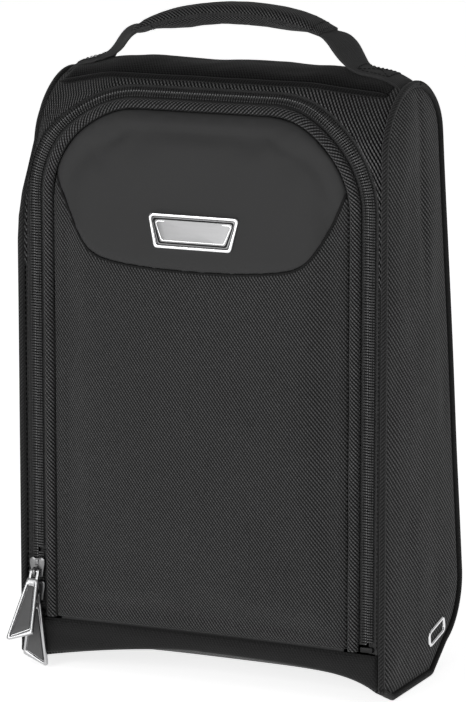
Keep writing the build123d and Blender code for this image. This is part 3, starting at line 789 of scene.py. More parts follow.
def hem_high(x):
    """Height of the hem's upper edge, a little bowed."""
    return SEAM_Z - 0.5 + 1.3 * (1 - (np.asarray(x, float) / PANEL_X) ** 2)


SHELL_THICK, HEAVY_THICK, FLAP_THICK, BAND_THICK, LINING_THICK = 1.6, 1.8, 1.2, 1.3, 0.6
BACK_S = TOP_S + TOP_RADIUS * (math.pi - BACK_LEAN) + TOP_RADIUS * math.sin(BACK_LEAN)
SEAT_S = OUTLINE_STEP * int(np.argmin(np.hypot(*(OUTLINE - [SEAT_BACK, 0]).T)))

# the yoke: one cloth from the zip's arch over the top, between the two side seams
FRAME_EDGE, GUSSET_LOW = 5.6, 240.0
edge_t = np.arange(GUSSET_LOW - SEAM_Z, ARCH_LENGTH - (GUSSET_LOW - SEAM_Z) + 0.1, 2.5)
edge_x, edge_z = arch(edge_t, FRAME_EDGE)
arch_edge = side_by_side(edge_x, s_of_z(edge_z))
gusset_s = s_of_z(GUSSET_LOW)
yoke_corners = [(PANEL_X, gusset_s), (PANEL_X, BACK_S), (-PANEL_X, BACK_S), (-PANEL_X, gusset_s)]
outer_edge = resample(np.array(yoke_corners, float), step=3.0)
YOKE_LOOP = np.vstack([arch_edge, outer_edge])


def yoke_shape(flat):
    x, s = flat.T
    to_seam = PANEL_X - np.abs(x)
    to_arch = -arch_depth(x, s, FRAME_EDGE, -50.0)
    lift = edge_roll(to_seam, 1.0, 2.0) + edge_roll(to_arch, 0.9, 1.8)
    soft = smooth(to_seam / 14) * smooth(to_arch / 10)
    lift = lift + lumps(x, s, (26.0, 5.0, 0.9), (11.0, 9.0, 0.3)) * soft
    # the cloth is drawn into small creases where the arch turns
    for sign in (-1, 1):
        away = np.hypot(x - sign * 101, (s - s_of_z(318.0)) * 0.55)
        lift = lift - 0.9 * np.exp(-((away - 9) / 3.5) ** 2) * smooth((s - s_of_z(292.0)) / 20)
    return settle(wall(x, s, lift))


YOKE_NODES = ["left_corner_gusset", "right_corner_gusset", "top_panel"]
sewn("yoke_cloth", YOKE_LOOP, 3.2, yoke_shape, SHELL_THICK, YOKE, (0, -0.3, 1), YOKE_NODES)

# the back, from the yoke down round the rear edge of the base
BACK_LOOP = rectangle(PANEL_X, BACK_S, SEAT_S, 5.0)


def back_shape(flat):
    x, s = flat.T
    to_seam = np.minimum.reduce([PANEL_X - np.abs(x), s - BACK_S + 3, SEAT_S - s + 3])
    soft = smooth(to_seam / 25)
    sag = 2.2 * smooth((s - BACK_S - 60) / 120) * smooth((SEAT_S - s) / 60)
    lift = edge_roll(PANEL_X - np.abs(x), 1.0, 2.2) + soft * (1.0 + sag * (1 - (x / PANEL_X) ** 2))
    lift = lift + soft * lumps(x * 0.6, s, (60.0, 1.0, 1.6), (24.0, 2.0, 0.6))
    return settle(wall(x, s, lift))


sewn("back_cloth", BACK_LOOP, 4.0, back_shape, HEAVY_THICK, WOVEN, (0, 1, 0), ["back_panel"])

# the base, arched up between its feet
BASE_Y = (FRONT_Y + 2.6, SEAT_BACK)
BASE_LOOP = rectangle(PANEL_X, *BASE_Y, 5.0)


def base_height(x, y):
    """Height of the base's underside."""
    bow = 1 - (x / PANEL_X) ** 6
    seat = SKIN + 12.6 * bow
    rear = SKIN + 2.0 * bow
    toe = hem_low(x)
    forward = smooth((SEAT_FRONT - y) / (SEAT_FRONT - BASE_Y[0]))
    backward = np.clip((y - SEAT_FRONT) / (SEAT_BACK - SEAT_FRONT), 0, 1)
    return toe * forward + (1 - forward) * (seat * (1 - backward) + rear * backward)


def base_shape(flat, lift=0.0):
    """The base's cloth, or a layer that lies above it by that lift."""
    x, y = flat.T
    return np.column_stack([x, y, base_height(x, y) + lift])


sewn("base_cloth", BASE_LOOP, 5.0, base_shape, HEAVY_THICK, WOVEN, DOWN, ["base_panel"])

# the hem below the flap, its lower edge turned under
hem_x = np.linspace(-PANEL_X, PANEL_X, 76)
HEM_LOOP = np.vstack([side_by_side(hem_x, hem_low(hem_x)), side_by_side(hem_x, hem_high(hem_x))[::-1]])


def hem_shape(flat):
    x, z = flat.T
    up, down = z - hem_low(x), hem_high(x) - z
    lift = 0.9 * smooth(up / 6) * smooth(down / 5) + edge_roll(down, 0.9, 1.2)
    lift = lift - 1.3 * np.clip(1 - up / 1.8, 0, 1) ** 2 + edge_roll(PANEL_X - np.abs(x), 0.8, 2.0)
    lift = lift + lumps(x, z * 2, (24.0, 4.0, 0.8)) * smooth(up / 5) * smooth(down / 5)
    return wall(x, z - FRONT_TOE, lift)


sewn("hem_cloth", HEM_LOOP, 2.6, hem_shape, SHELL_THICK, HEM, (0, -1, 0), ["front_hem"])

# ---------------------------------------------------------------- sides and their seams

BINDING_DEPTH = 3.7
SIDES = {"left": -1, "right": 1}
FRONT_END_S = TOP_S + TOP_RADIUS * 1.75
side_inset = OUTLINE - NORMALS * (BINDING_DEPTH - 0.5)
SIDE_LOOP = resample(side_inset, step=4.0, closed=True)


def side_shape(sign):
    """Bends a side panel's flat cloth: puffed between its seams, with one soft fold."""

    def shape(flat):
        y, z = flat.T
        deep = rim_distance(flat, SIDE_LOOP)
        uneven = lumps(y, z * 0.55, (42.0, 6.0, 1.5), (17.0, 7.0, 0.45), third=sign * 40)
        puff = 1.3 * smooth(deep / 26) + uneven * smooth(deep / 16)
        # the fold runs down from the top corner
        fold_y = y + 14 + (z - 330) * 0.10
        crease = -1.0 * np.exp(-((fold_y / 5.0) ** 2)) * smooth((z - 190) / 90) * smooth(deep / 8)
        lift = edge_roll(deep, 1.4, 1.6) + puff + crease
        return settle(np.column_stack([sign * (SIDE_X - 1.2 + lift), y, z]))

    return shape


def wall_sweep(name, section, start, end, material):
    """A tube that follows the side outline; the section lists (x, lift) pairs."""
    s = resample(np.array([[start], [end]], float), step=2.5)[:, 0]
    rows = np.array([wall(section[:, 0], at, section[:, 1]) for at in s])
    return swept(name, settled(rows), material)


for side, sign in SIDES.items():
    side_nodes = [f"{side}_side_panel"]
    name, shape = f"{side}_side_cloth", side_shape(sign)
    sewn(name, SIDE_LOOP, 3.4, shape, SHELL_THICK, SIDE, (sign, 0, 0), side_nodes)

    # in front the seam is a folded edge of the side's own cloth; round the base and back it is piped
    fold_section = ring(1.75, 1.9, 14, 3.0) + [sign * (SIDE_X - 1.75), SKIN - 2.0]
    fold = wall_sweep(f"{side}_seam_fold", fold_section, 0.5, FRONT_END_S, FOLD)
    place(fold, "bag", "binding", f"{side}_seam_binding")
    pipe_section = ring(1.9, 1.9, 14) + [sign * (SIDE_X - 1.6), SKIN - 1.95]
    pipe_ends = FRONT_END_S - 2, OUTLINE_LENGTH + 3
    place(wall_sweep(f"{side}_seam_piping", pipe_section, *pipe_ends, BINDING), "bag", "binding")

# ---------------------------------------------------------------- top band

band_rise = math.sqrt(SKIN_RADIUS**2 - (BAND_FRONT + 2.5 - TOP_Y) ** 2)
band_s = [s_of_z(TOP_Z + band_rise), s_at_back(BAND_BACK)]
BAND_LOOP = rectangle(BAND_X, *band_s, 3.0)


def band_shape(flat):
    x, s = flat.T
    deep = np.minimum(np.minimum(BAND_X - np.abs(x), s - band_s[0]), band_s[1] - s)
    lift = 1.0 + 2.0 * smooth(deep / 7) + edge_roll(deep, 0.9, 1.2)
    lift = lift + lumps(x * 0.7, s * 1.3, (21.0, 11.0, 1.3), (9.0, 12.0, 0.25)) * smooth(deep / 6)
    return settle(wall(x, s, lift))


sewn("top_band_cloth", BAND_LOOP, 2.4, band_shape, BAND_THICK, BAND, UP, ["top_band"])

roll_x = np.linspace(-BAND_X, BAND_X, 110)
roll_s = band_s[0] - 0.6 + lumps(roll_x, roll_x * 0, (30.0, 13.0, 0.9))
roll_rows = []
for x, s in zip(roll_x, roll_s):
    end = smooth((BAND_X - abs(x)) / 6) * 0.45 + 0.55
    section = ring(1.9, 1.5, 12) * end
    roll_rows.append(wall(np.full(12, x), s + section[:, 0], 1.3 + section[:, 1]))
band_roll = swept("top_band_roll", settled(np.array(roll_rows)), BAND)
place(band_roll, "bag", "binding", "band_piping")

# ---------------------------------------------------------------- zip


# sections of the tapes, as offsets from the zip's centre and lifts
OUTER_TAPE = [(0.7, -2.6), (3.6, -2.5), (4.8, -2.2), (5.4, -1.2), (6.5, -1.7), (7.0, -3.2), (7.4, -3.4)]
OUTER_TAPE += [(7.4, -3.9), (6.2, -3.7), (5.4, -2.4), (4.8, -2.8), (3.6, -2.9), (0.7, -3.0)]
INNER_TAPE = [(-0.7, -2.6), (-3.6, -2.5), (-5.0, -2.5), (-5.8, -3.2), (-9.0, -3.2), (-9.0, -3.8)]
INNER_TAPE += [(-5.8, -3.8), (-5.0, -2.9), (-3.6, -2.9), (-0.7, -3.0)]
PARKED_TAPE = [(o, lift) if o > -6 else (-6.0, lift) for o, lift in INNER_TAPE]
PARKED_T = PARKED_TOP - SEAM_Z
COIL_T = COIL_LOW - SEAM_Z
TOOTH_PITCH = 1.6

COIL_END = ARCH_LENGTH - COIL_T


def tape(name, section, start, end, body, node_name):
    """One tape of the zip, from start to end along the arch."""
    place(arch_sweep(name, section, start, end, 2.5, TAPE), body, "zip_tape", node_name)


tape("zip_tape_outer", OUTER_TAPE, 0.0, ARCH_LENGTH, "bag", "zip_outer_tape")
tape("zip_tape_parked", PARKED_TAPE, 0.0, PARKED_T, "bag", "zip_parked_tape")
tape("zip_tape_inner", INNER_TAPE, PARKED_T + 0.6, COIL_END, "flap", "zip_inner_tape")

TOOTH = [  # offset from the zip's centre, half-length along it, half-height
    (3.6, 0.20, 0.20),
    (3.3, 0.60, 0.42),
    (2.2, 0.62, 0.50),
    (1.0, 0.60, 0.58),
    (0.55, 0.54, 0.80),
    (0.32, 0.46, 0.70),
    (0.22, 0.20, 0.30),
]
TOOTH_LIFT = -1.25


def coil(name, side, start, end, shift, body, node_name):
    """One half of the zip's teeth: loops of the coil, their heads meeting at the centre."""
    parts, flat = [], []
    for k in range(int((end - start) / TOOTH_PITCH)):
        at = start + (k + shift) * TOOTH_PITCH
        rows = []
        for offset, half, high in TOOTH:
            section = ring(half, high, 8, 2.6)
            x, z = arch(at + section[:, 0], np.full(8, side * offset))
            rows.append(front(x, z, TOOTH_LIFT + section[:, 1]))
            flat += [(at + a, side * offset) for a in section[:, 0]]
        parts.append(strip(np.array(rows)))
    points, faces = merge(parts)
    place(make_object(name, settle(points), faces, COIL, flat), body, "zip_coil", node_name)


coil("zip_teeth_outer", 1, COIL_T, COIL_END, 0.5, "bag", "zip_outer_coil")
coil("zip_teeth_parked", -1, COIL_T, PARKED_T, 1.0, "bag", "zip_parked_coil")
coil("zip_teeth_inner", -1, PARKED_T + 0.8, COIL_END, 1.0, "flap", "zip_inner_coil")

LOCKSTITCH = (1.5, 0.8, 0.3)  # pitch, share of it that is thread, radius
TAPE_STITCH = (2.6, 0.7, 0.3)


def arch_thread(name, offset, lift, start, end, body, stitch):
    """A row of stitches beside the zip's centre line."""
    x, z = arch(np.arange(start, end, 1.0), offset)
    line, above = front(x, z, lift), front(x, z, lift + 1)
    stitches(name, settle(line), above - line, *stitch, body, "zip_tape")


arch_thread("zip_lockstitch_outer", 2.3, -0.9, COIL_T, COIL_END, "bag", LOCKSTITCH)
arch_thread("zip_lockstitch_parked", -2.3, -0.9, COIL_T, PARKED_T, "bag", LOCKSTITCH)
arch_thread("zip_lockstitch_inner", -2.3, -0.9, PARKED_T + 1.2, COIL_END, "flap", LOCKSTITCH)
arch_thread("tape_stitch_outer", 5.7, -1.25, 2.0, ARCH_LENGTH - 2.0, "bag", TAPE_STITCH)

# ---------------------------------------------------------------- flap

# right half of the upper panel's lower edge, x and z
PANEL_BOWL = [(96.0, 303.0), (91.5, 296.0), (84.5, 279.0), (75.0, 261.0), (68.0, 252.5)]
PANEL_BOWL += [(60.0, 248.2), (46.0, 246.0), (25.0, 244.4), (0.0, 243.8)]


def bowl_curve():
    """The lower edge of the smooth upper panel, from its left point to its right one."""
    right = np.array(PANEL_BOWL)
    whole = np.vstack([right * [-1, 1], right[::-1][1:]])
    steps = np.arange(len(whole))
    fine = np.linspace(0, len(whole) - 1, 400)
    line = np.stack([np.interp(fine, steps, whole[:, k]) for k in range(2)], 1)
    kernel = np.hanning(31)
    kernel /= kernel.sum()
    padded = np.vstack([np.repeat(line[:1], 15, 0), line, np.repeat(line[-1:], 15, 0)])
    return np.stack([np.convolve(padded[:, k], kernel, "valid") for k in range(2)], 1)


BOWL = bowl_curve()


SWELL_HEIGHT, SWELL_TOP = 11.0, 318.0


def swell(x, z):
    """How far the padded flap stands out, before the cloth is blown up."""
    up = np.clip((z - FLAP_LOW) / (SWELL_TOP - FLAP_LOW), 0, 1)
    tall = np.sin(math.pi * up**0.94)
    wide = 1 - (np.abs(x) / (CHAIN_X + PILLOW_EDGE)) ** 2.4
    return SWELL_HEIGHT * tall * np.clip(wide, 0, 1) ** 0.8


def pillow_loop(grow=PILLOW_EDGE, step=3.0):
    """The outline of the padded flap inside its welt."""
    t = np.arange(FLAP_LOW - SEAM_Z, ARCH_LENGTH - (FLAP_LOW - SEAM_Z) + 0.1, step)
    x, z = arch(t, grow)
    foot = np.linspace(x[-1], x[0], 60)[1:-1]
    return np.vstack([side_by_side(x, z), side_by_side(foot, foot * 0 + FLAP_LOW)])


PILLOW_LOOP = pillow_loop()


def blow_up(name, points, faces, voxel, pressure, cap):
    """Swells a closed form with cloth pressure: its final points and triangles, in millimetres.

    voxel is the size of its even mesh, and cap the furthest that a point may move.
    """
    helper = make_object(name, points, faces, WOVEN)
    remesh = helper.modifiers.new("even", "REMESH")
    remesh.mode, remesh.voxel_size = "VOXEL", voxel * MM
    graph = bpy.context.evaluated_depsgraph_get()
    even = bpy.data.meshes.new_from_object(helper.evaluated_get(graph))
    helper.modifiers.clear()
    helper.data = even
    start = np.array([v.co for v in even.vertices])
    cloth = helper.modifiers.new("cloth", "CLOTH")
    cloth.settings.quality = 5
    cloth.settings.use_pressure = True
    cloth.settings.uniform_pressure_force = pressure
    cloth.settings.tension_stiffness = cloth.settings.compression_stiffness = 15.0
    cloth.settings.bending_stiffness = 0.6
    cloth.settings.effector_weights.gravity = 0.0
    scene = bpy.context.scene
    for frame_number in range(1, 21):
        scene.frame_set(frame_number)
    graph = bpy.context.evaluated_depsgraph_get()
    swollen = bpy.data.meshes.new_from_object(helper.evaluated_get(graph))
    end = np.array([v.co for v in swollen.vertices])
    moved = end - start
    far = np.linalg.norm(moved, axis=1)
    end = start + moved * np.minimum(1, cap * MM / np.maximum(far, 1e-9))[:, None]
    triangles = [tuple(p.vertices) for p in swollen.polygons]
    scene.frame_set(1)
    bpy.data.objects.remove(helper)
    print(name, "moved", *(round(float(v) / MM, 2) for v in (far.mean(), far.max())), "mm, mean and most")
    return end / MM, triangles


SHAPED_SHARE, BLOWN_SHARE = 0.45, 0.55


def pillow_lift():
    """Lift of the flap's face at a point: a share of the plain swell and a share of the simulated cloth's.
    """
    flat, faces = fill(pillow_loop(PILLOW_EDGE, 6.0), 7.0)
    x, z = flat.T
    inside = smooth(arch_depth(x, s_of_z(z)) / 14)
    face = front(x, z, swell(x, z) * 0.75 * inside - 1.0)
    back_face = front(x, z, -4.0 - 3.0 * inside)
    layer = closed_layer(face, back_face, faces)
    points, blown = blow_up("flap_blown", *layer, voxel=5.0, pressure=4.0, cap=6.0)
    tree = BVHTree.FromPolygons([Vector(p) for p in points], blown)

    def blown_lift(x, z):
        found = []
        for px, pz, rest in zip(x, z, swell(x, z)):
            hit, _, _, _ = tree.ray_cast(Vector((px, -200.0, pz)), Vector((0, 1, 0)))
            found.append(float(front(px, pz)[1]) - hit.y if hit else rest)
        return np.array(found)

    x, z = flat[inside > 0.9].T
    gain = float(swell(x, z).sum() / blown_lift(x, z).sum())
    print("flap gain", round(gain, 3))
    return lambda x, z: SHAPED_SHARE * swell(x, z) + BLOWN_SHARE * gain * blown_lift(x, z)


FLAP_LIFT = pillow_lift()
badge_low, badge_high = cad_box("badge_rim")
BADGE_Z = (badge_low[2] + badge_high[2]) / 2
BADGE_HALF = badge_high[0]
BADGE_Y, BADGE_LEAN = -68.5, math.radians(5.5)
BADGE_LIFT = FRONT_Y + SKIN - BADGE_Y - 0.6


def flap_face(flat, extra):
    """The flap's face: swollen in the middle, rolled down into the welt's groove."""
    x, z = flat.T
    deep = arch_depth(x, s_of_z(z))
    body = FLAP_LIFT(x, z) * smooth(deep / 26 + 0.12)
    # the badge presses the cloth flat behind it
    beside = np.hypot(np.maximum(np.abs(x) - BADGE_HALF, 0), np.maximum(np.abs(z - BADGE_Z) - 9, 0))
    pressed = smooth(1 - beside / 40)
    body = body * (1 - pressed) + (BADGE_LIFT - (z - BADGE_Z) * math.tan(BADGE_LEAN)) * pressed
    soft = smooth(deep / 18) * (1 - pressed)
    lift = body + edge_roll(deep, 2.5, 1.3) + extra
    lift = lift + lumps(x, z, (55.0, 21.0, 0.9), (23.0, 22.0, 0.3)) * soft
    # the cloth puckers a little along its seams
    pucker = lumps(x, z, (6.5, 23.0, 0.35)) * smooth(deep / 2) * smooth((16 - deep) / 12)
    return settle(front(x, z, lift + pucker))


def bowl_depth(flat):
    """Signed distance from the upper panel's lower edge: positive above it."""
    near = np.min([np.hypot(*(flat - p).T) for p in BOWL[::3]], axis=0)
    floor = np.interp(flat[:, 0], BOWL[:, 0], BOWL[:, 1])
    return np.where(flat[:, 1] > floor, near, -near)


def split_pillow():
    """The flap's outline cut in two along the bowl: the upper loop, the main loop and the cut."""
    inside = arch_depth(BOWL[:, 0], s_of_z(BOWL[:, 1])) > 0.3
    cut = resample(BOWL[inside], step=2.5)
    x, z = PILLOW_LOOP.T
    upper = PILLOW_LOOP[(z > cut[0, 1] + 1.0) & (z > np.interp(x, cut[:, 0], cut[:, 1]))]
    rest = np.roll(PILLOW_LOOP, -int(np.argmax(z > cut[0, 1] - 1.0)), axis=0)
    rest = rest[rest[:, 1] < cut[0, 1] - 1.0]
    return np.vstack([upper, cut[::-1]]), np.vstack([rest, cut]), cut


UPPER_LOOP, MAIN_LOOP, UPPER_EDGE = split_pillow()


def main_shape(flat):
    below = np.maximum(-bowl_depth(flat), 0)
    return flap_face(flat, -1.0 * np.exp(-below / 1.3))


def upper_shape(flat):
    above = np.maximum(bowl_depth(flat), 0)
    return flap_face(flat, 0.7 * smooth(above / 4) - 0.9 * np.exp(-above / 0.9))


def flap_panel(name, loop, shape, material, slot_name, node_name):
    """One of the two padded panels of the flap's face."""
    made = cloth_panel(name, loop, 2.8, shape, FLAP_THICK, material, (0, -1, 0), LINING)
    place(made, "flap", slot_name, node_name)


flap_panel("flap_main_cloth", MAIN_LOOP, main_shape, WOVEN, "woven_fabric", "flap_main_panel")
flap_panel("flap_upper_cloth", UPPER_LOOP, upper_shape, PANEL, "smooth_panel", "flap_upper_panel")

# the upper panel's turned edge, coloured near-black along the bowl as painted shadow of the seam
edge_path = flap_face(resample(UPPER_EDGE - [0, 0.35], step=1.5), -0.25)
edge_frames = zip(edge_path, *frames_along(edge_path, (0, -1, 0)))
edge_section = ring(0.7, 0.5, 8)
edge_rows = [[p + across * a + above * b for a, b in edge_section] for p, above, across in edge_frames]
place(swept("upper_panel_edge_painted_shadow", edge_rows, GROOVE_PAINTED_SHADE), "flap", "binding")

# the foam behind the face, and the flap's lining
PAD_LOOP = pillow_loop(PILLOW_EDGE - 1.0, 5.0)


def pad_solid():
    """The foam: its face follows the cloth's, its back is flat."""
    flat, faces = fill(PAD_LOOP, 6.0)
    x, z = flat.T
    deep = arch_depth(x, s_of_z(z), PILLOW_EDGE - 1.0)
    face = settle(front(x, z, FLAP_LIFT(x, z) * smooth(deep / 26 + 0.1) - 3.2))
    back_face = settle(front(x, z, np.full(len(x), -4.1)))
    face[:, 1] = np.minimum(face[:, 1], back_face[:, 1] - 0.4)
    return make_object("flap_foam", *closed_layer(face, back_face, faces), FOAM, np.vstack([flat, flat]))


foam = pad_solid()
place(foam, "flap", "foam", "flap_padding")

LINING_LOOP = pillow_loop(PILLOW_EDGE + 4.0, 4.0)


def flap_lining_shape(flat):
    x, z = flat.T
    deep = arch_depth(x, s_of_z(z))
    ripples = (lumps(x, z * 0.6, (30.0, 31.0, 0.5)) - 0.6) * smooth(deep / 10)
    return settle(front(x, z, -4.4 + np.minimum(ripples, 0)))


sewn(
    "flap_lining_cloth",
    LINING_LOOP,
    5.0,
    flap_lining_shape,
    LINING_THICK,
    LINING,
    (0, 1, 0),
    ["flap_lining"],
    "flap",
)

# the rolled welt between the flap and the zip
WELT_MIDDLE, WELT_HALF = (WELT_OUT + WELT_IN) / 2, (WELT_OUT - WELT_IN) / 2
welt_section = []
for part in np.linspace(-1, 1, 13):
    welt_section.append((WELT_MIDDLE - part * WELT_HALF, -1.5 + 2.9 * (1 - abs(part) ** 3.2) ** 0.6))
welt_section += [(WELT_IN + 0.4, -2.4), (WELT_OUT - 0.4, -2.4)]


def welt_wobble(t):
    """How far the welt wanders sideways at a distance along the zip."""
    return noise.noise(Vector((t / 35.0, 3.0, 1.0))) * 0.25


WELT_T = (FLAP_LOW - SEAM_Z, ARCH_LENGTH - (FLAP_LOW - SEAM_Z))
welt = arch_sweep("flap_welt_roll", welt_section, *WELT_T, 2.0, WELT, welt_wobble)
place(welt, "flap", "binding", "flap_welt")
INNER_STITCH, OUTER_STITCH = (2.4, 0.7, 0.32), (2.4, 0.7, 0.28)
arch_thread("welt_stitch_inner", WELT_IN + 0.1, -0.75, 3.0, ARCH_LENGTH - 3.0, "flap", INNER_STITCH)
outer_ends = PARKED_T + 2, ARCH_LENGTH - 8.0
arch_thread("welt_stitch_outer", WELT_OUT + 0.1, -1.35, *outer_ends, "flap", OUTER_STITCH)

# the cloth hinge behind the lower seam
HINGE_HALF, HINGE_LOW, HINGE_HIGH = 90.0, 24.0, 38.0
HINGE_LOOP = rectangle(HINGE_HALF, HINGE_LOW, HINGE_HIGH, 1.5)


def hinge_shape(flat):
    x, z = flat.T
    return wall(x, z - FRONT_TOE, -2.2 - 0.5 * smooth((z - 28) / 4))


hinge = cloth_panel("flap_hinge_cloth", HINGE_LOOP, 1.6, hinge_shape, 0.5, LINING, (0, 1, 0))
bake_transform(hinge)

# stitching along the hem's top edge
seam_x = np.linspace(-100, 100, 201)
seam_line = wall(seam_x, hem_high(seam_x) - 1.6 - FRONT_TOE, 0.35)
seam_out = np.tile([0, -1.0, 0], (len(seam_line), 1))
stitches("hem_stitches", seam_line, seam_out, 3.2, 0.65, 0.3, "bag", "binding")

# ---------------------------------------------------------------- linings and base board


def lining_panel(name, loop, spacing, shape, outward, node_name):
    """A lining of the bag, sewn in beside one other piece."""
    sewn(name, loop, spacing, shape, LINING_THICK, LINING, outward, [node_name])


def ripple(flat, seed, size=0.6):
    """Loose lining stands off the wall by this much, in soft folds."""
    return -size * (1 + lumps(flat[:, 0], flat[:, 1] * 0.5, (34.0, seed, 1.0)))


INNER_X = PANEL_X - 2.0


def wall_lining(seed):
    """The shape of a lining that follows the walls, with its own folds."""
    return lambda flat: settle(wall(flat[:, 0], flat[:, 1], -2.2 + ripple(flat, seed)))


top_start = s_of_z(TOP_Z + math.sqrt(SKIN_RADIUS**2 - 14.0**2))
TOP_LINING = rectangle(INNER_X, top_start, BACK_S - 1, 6.0)
BACK_LINING = rectangle(INNER_X, BACK_S + 1, SEAT_S - 16, 6.0)
top_folds, back_folds = wall_lining(41.0), wall_lining(42.0)
lining_panel("top_lining_cloth", TOP_LINING, 6.0, top_folds, DOWN, "top_lining")
lining_panel("back_lining_cloth", BACK_LINING, 6.0, back_folds, (0, -1, 0), "back_lining")

for side, sign in SIDES.items():
    side_loop = resample(OUTLINE - NORMALS * 7.0, step=5.0, closed=True)

    def side_lining_shape(flat, sign=sign):
        inset = SIDE_X - PANEL_X + 0.3 - ripple(flat, 43.0 + sign, 0.5)[:, None]
        return settle(np.column_stack([np.full(len(flat), sign * SIDE_X), flat])) - inset * [sign, 0, 0]

    name, inward = f"{side}_side_lining", (-sign, 0, 0)
    lining_panel(f"{name}_cloth", side_loop, 6.0, side_lining_shape, inward, name)

BOARD_X = cad_box("base_board")[1][0]


def floor_loop(half):
    """The outline of a layer that lies on the base."""
    return rectangle(half, SEAT_FRONT, SEAT_BACK - 2, 5.0)


def board_shape(flat):
    return base_shape(flat, 4.4)


def base_lining_shape(flat):
    return base_shape(flat, 5.4 + ripple(flat, 45.0, -0.3))


board = cloth_panel("base_board_sheet", floor_loop(BOARD_X), 6.0, board_shape, 2.0, BOARD, UP)
place(board, "bag", "board", "base_board")
LINED = floor_loop(BOARD_X + 5)
lining_panel("base_lining_cloth", LINED, 5.0, base_lining_shape, UP, "base_lining")

# ---------------------------------------------------------------- handle

GRIP_HALF, GRIP_END_Z, GRIP_MID_Z = 57.0, 377.0, 388.0
GRIP_WIDE, GRIP_THICK = 28.0, 10.0
GATHERED = 5  # rows at each end of the sleeve that are drawn in
GRIP_OFFSET, GRIP_STRETCH, GRIP_TILT = 3.6, 1.2, 1.3  # of its middle and of its ends, in x, x and z
GRIP_ARC = three_point_arc((-GRIP_HALF, GRIP_END_Z), (0, GRIP_MID_Z), (GRIP_HALF, GRIP_END_Z), 64)


def grip_path():
    """The grip's centre line: an arc that leans a little towards its right end."""
    x, z = GRIP_ARC.T
    part = x / GRIP_HALF
    path_x = x + GRIP_OFFSET + GRIP_STRETCH * part
    return np.column_stack([path_x, np.full(len(x), HANDLE_Y), z + GRIP_TILT * part])


def grip_rows(grow):
    """Sections of the sleeve along the grip, thinner towards its ends, moved outwards by grow."""
    path = grip_path()
    above, across = frames_along(path, UP)
    rows = []
    for k, centre in enumerate(path):
        u = abs(2 * k / (len(path) - 1) - 1)
        thick = GRIP_THICK / 2 * (1 - 0.42 * smooth((u - 0.62) / 0.38)) + grow
        wide = GRIP_WIDE / 2 * (1 - 0.05 * smooth((u - 0.7) / 0.3)) + grow
        rows.append([centre + across[k] * a + above[k] * b for a, b in ring(wide, thick, 28, 2.7)])
    return np.array(rows)


def blown_sleeve():
    """The sleeve as cloth pressure blows it up, gathered at its ends."""
    swollen, triangles = blow_up("grip_blown", *strip(grip_rows(-0.6)), voxel=2.5, pressure=4.0, cap=3.0)
    tree = BVHTree.FromPolygons([Vector(p) for p in swollen], triangles)
    fitted = []
    for centre, row in zip(grip_path(), grip_rows(6.0)):
        line = []
        for p in row:
            hit, _, _, _ = tree.ray_cast(Vector(p), Vector(centre - p).normalized())
            line.append(np.array(hit) if hit else centre + (p - centre) * 0.6)
        fitted.append(line)
    rows = np.array(fitted)
    ends = grip_rows(-0.2)
    for k in range(GATHERED):
        keep = k / GATHERED
        for at in (k, -1 - k):
            rows[at] = rows[at] * keep + ends[at] * (1 - keep)
    return rows


def grip_sleeve():
    """Rows of the padded sleeve as the simulation blows it up, unevenly dented."""
    rows = blown_sleeve()
    flat_points = rows.reshape(-1, 3)
    dents = field(flat_points, 19.0, 51.0) * 0.45 + field(flat_points, 7.0, 52.0) * 0.15
    outward = rows - rows.mean(1, keepdims=True)
    outward /= np.linalg.norm(outward, axis=2)[..., None]
    return rows + outward * dents.reshape(rows.shape[:2])[..., None]


SLEEVE_ROWS = grip_sleeve()
grip = swept("grip_sleeve_cloth", SLEEVE_ROWS, GRIP)
place(grip, "handle", "woven_fabric", "handle_grip")


def grip_core(name, low, high, material, slot_name, node_name):
    """A flat layer inside the sleeve."""
    path = grip_path()[2:-2]
    section = ring(9.0, (high - low) / 2, 20, 6.0) + [0, (high + low) / 2]
    frames = zip(path, *frames_along(path, UP))
    rows = [[c + across * a + above * b for a, b in section] for c, above, across in frames]
    return place(swept(name, rows, material), "handle", slot_name, node_name)


grip_core("grip_webbing", -2.4, -0.2, WEBBING, "webbing", "handle_webbing")
grip_core("grip_pad", 0.2, 2.2, FOAM, "foam", "handle_padding")

# the right strap, x and z, from inside the sleeve to the end of its sewn part
STRAP_LINE = [(46.0, 379.6), (57.0, 376.4), (64.5, 373.3), (70.5, 369.4), (75.0, 365.9)]
STRAP_LINE += [(80.0, 362.8), (86.0, 360.9), (93.0, 360.8), (98.0, 360.5), (103.0, 359.3)]
STRAP_LINE += [(107.5, 357.3), (111.0, 354.6)]
WEB_HALF, WEB_THICK = 12.3, 2.3
GRIP_SHIFT = {"left": 2.4, "right": 4.8}
END_STITCH = (2.6, 0.7, 0.35)  # pitch, share of it that is thread, radius
SEWN_NEAR, SEWN_FAR, SEWN_HALF = 83.5, 102.5, 9.6  # the crossed box of stitches, in x and across


def smooth_line(points, count):
    """A smooth curve near a few points."""
    points = np.asarray(points, float)
    steps = np.arange(len(points))
    fine = np.linspace(0, len(points) - 1, count)
    line = np.stack([np.interp(fine, steps, points[:, k]) for k in range(points.shape[1])], 1)
    spread = max(3, count // len(points) | 1)
    kernel = np.hanning(spread + 2)[1:-1]
    kernel /= kernel.sum()
    half = spread // 2
    padded = np.vstack([2 * line[0] - line[half:0:-1], line, 2 * line[-1] - line[-2 : -half - 2 : -1]])
    return np.stack([np.convolve(padded[:, k], kernel, "valid") for k in range(points.shape[1])], 1)


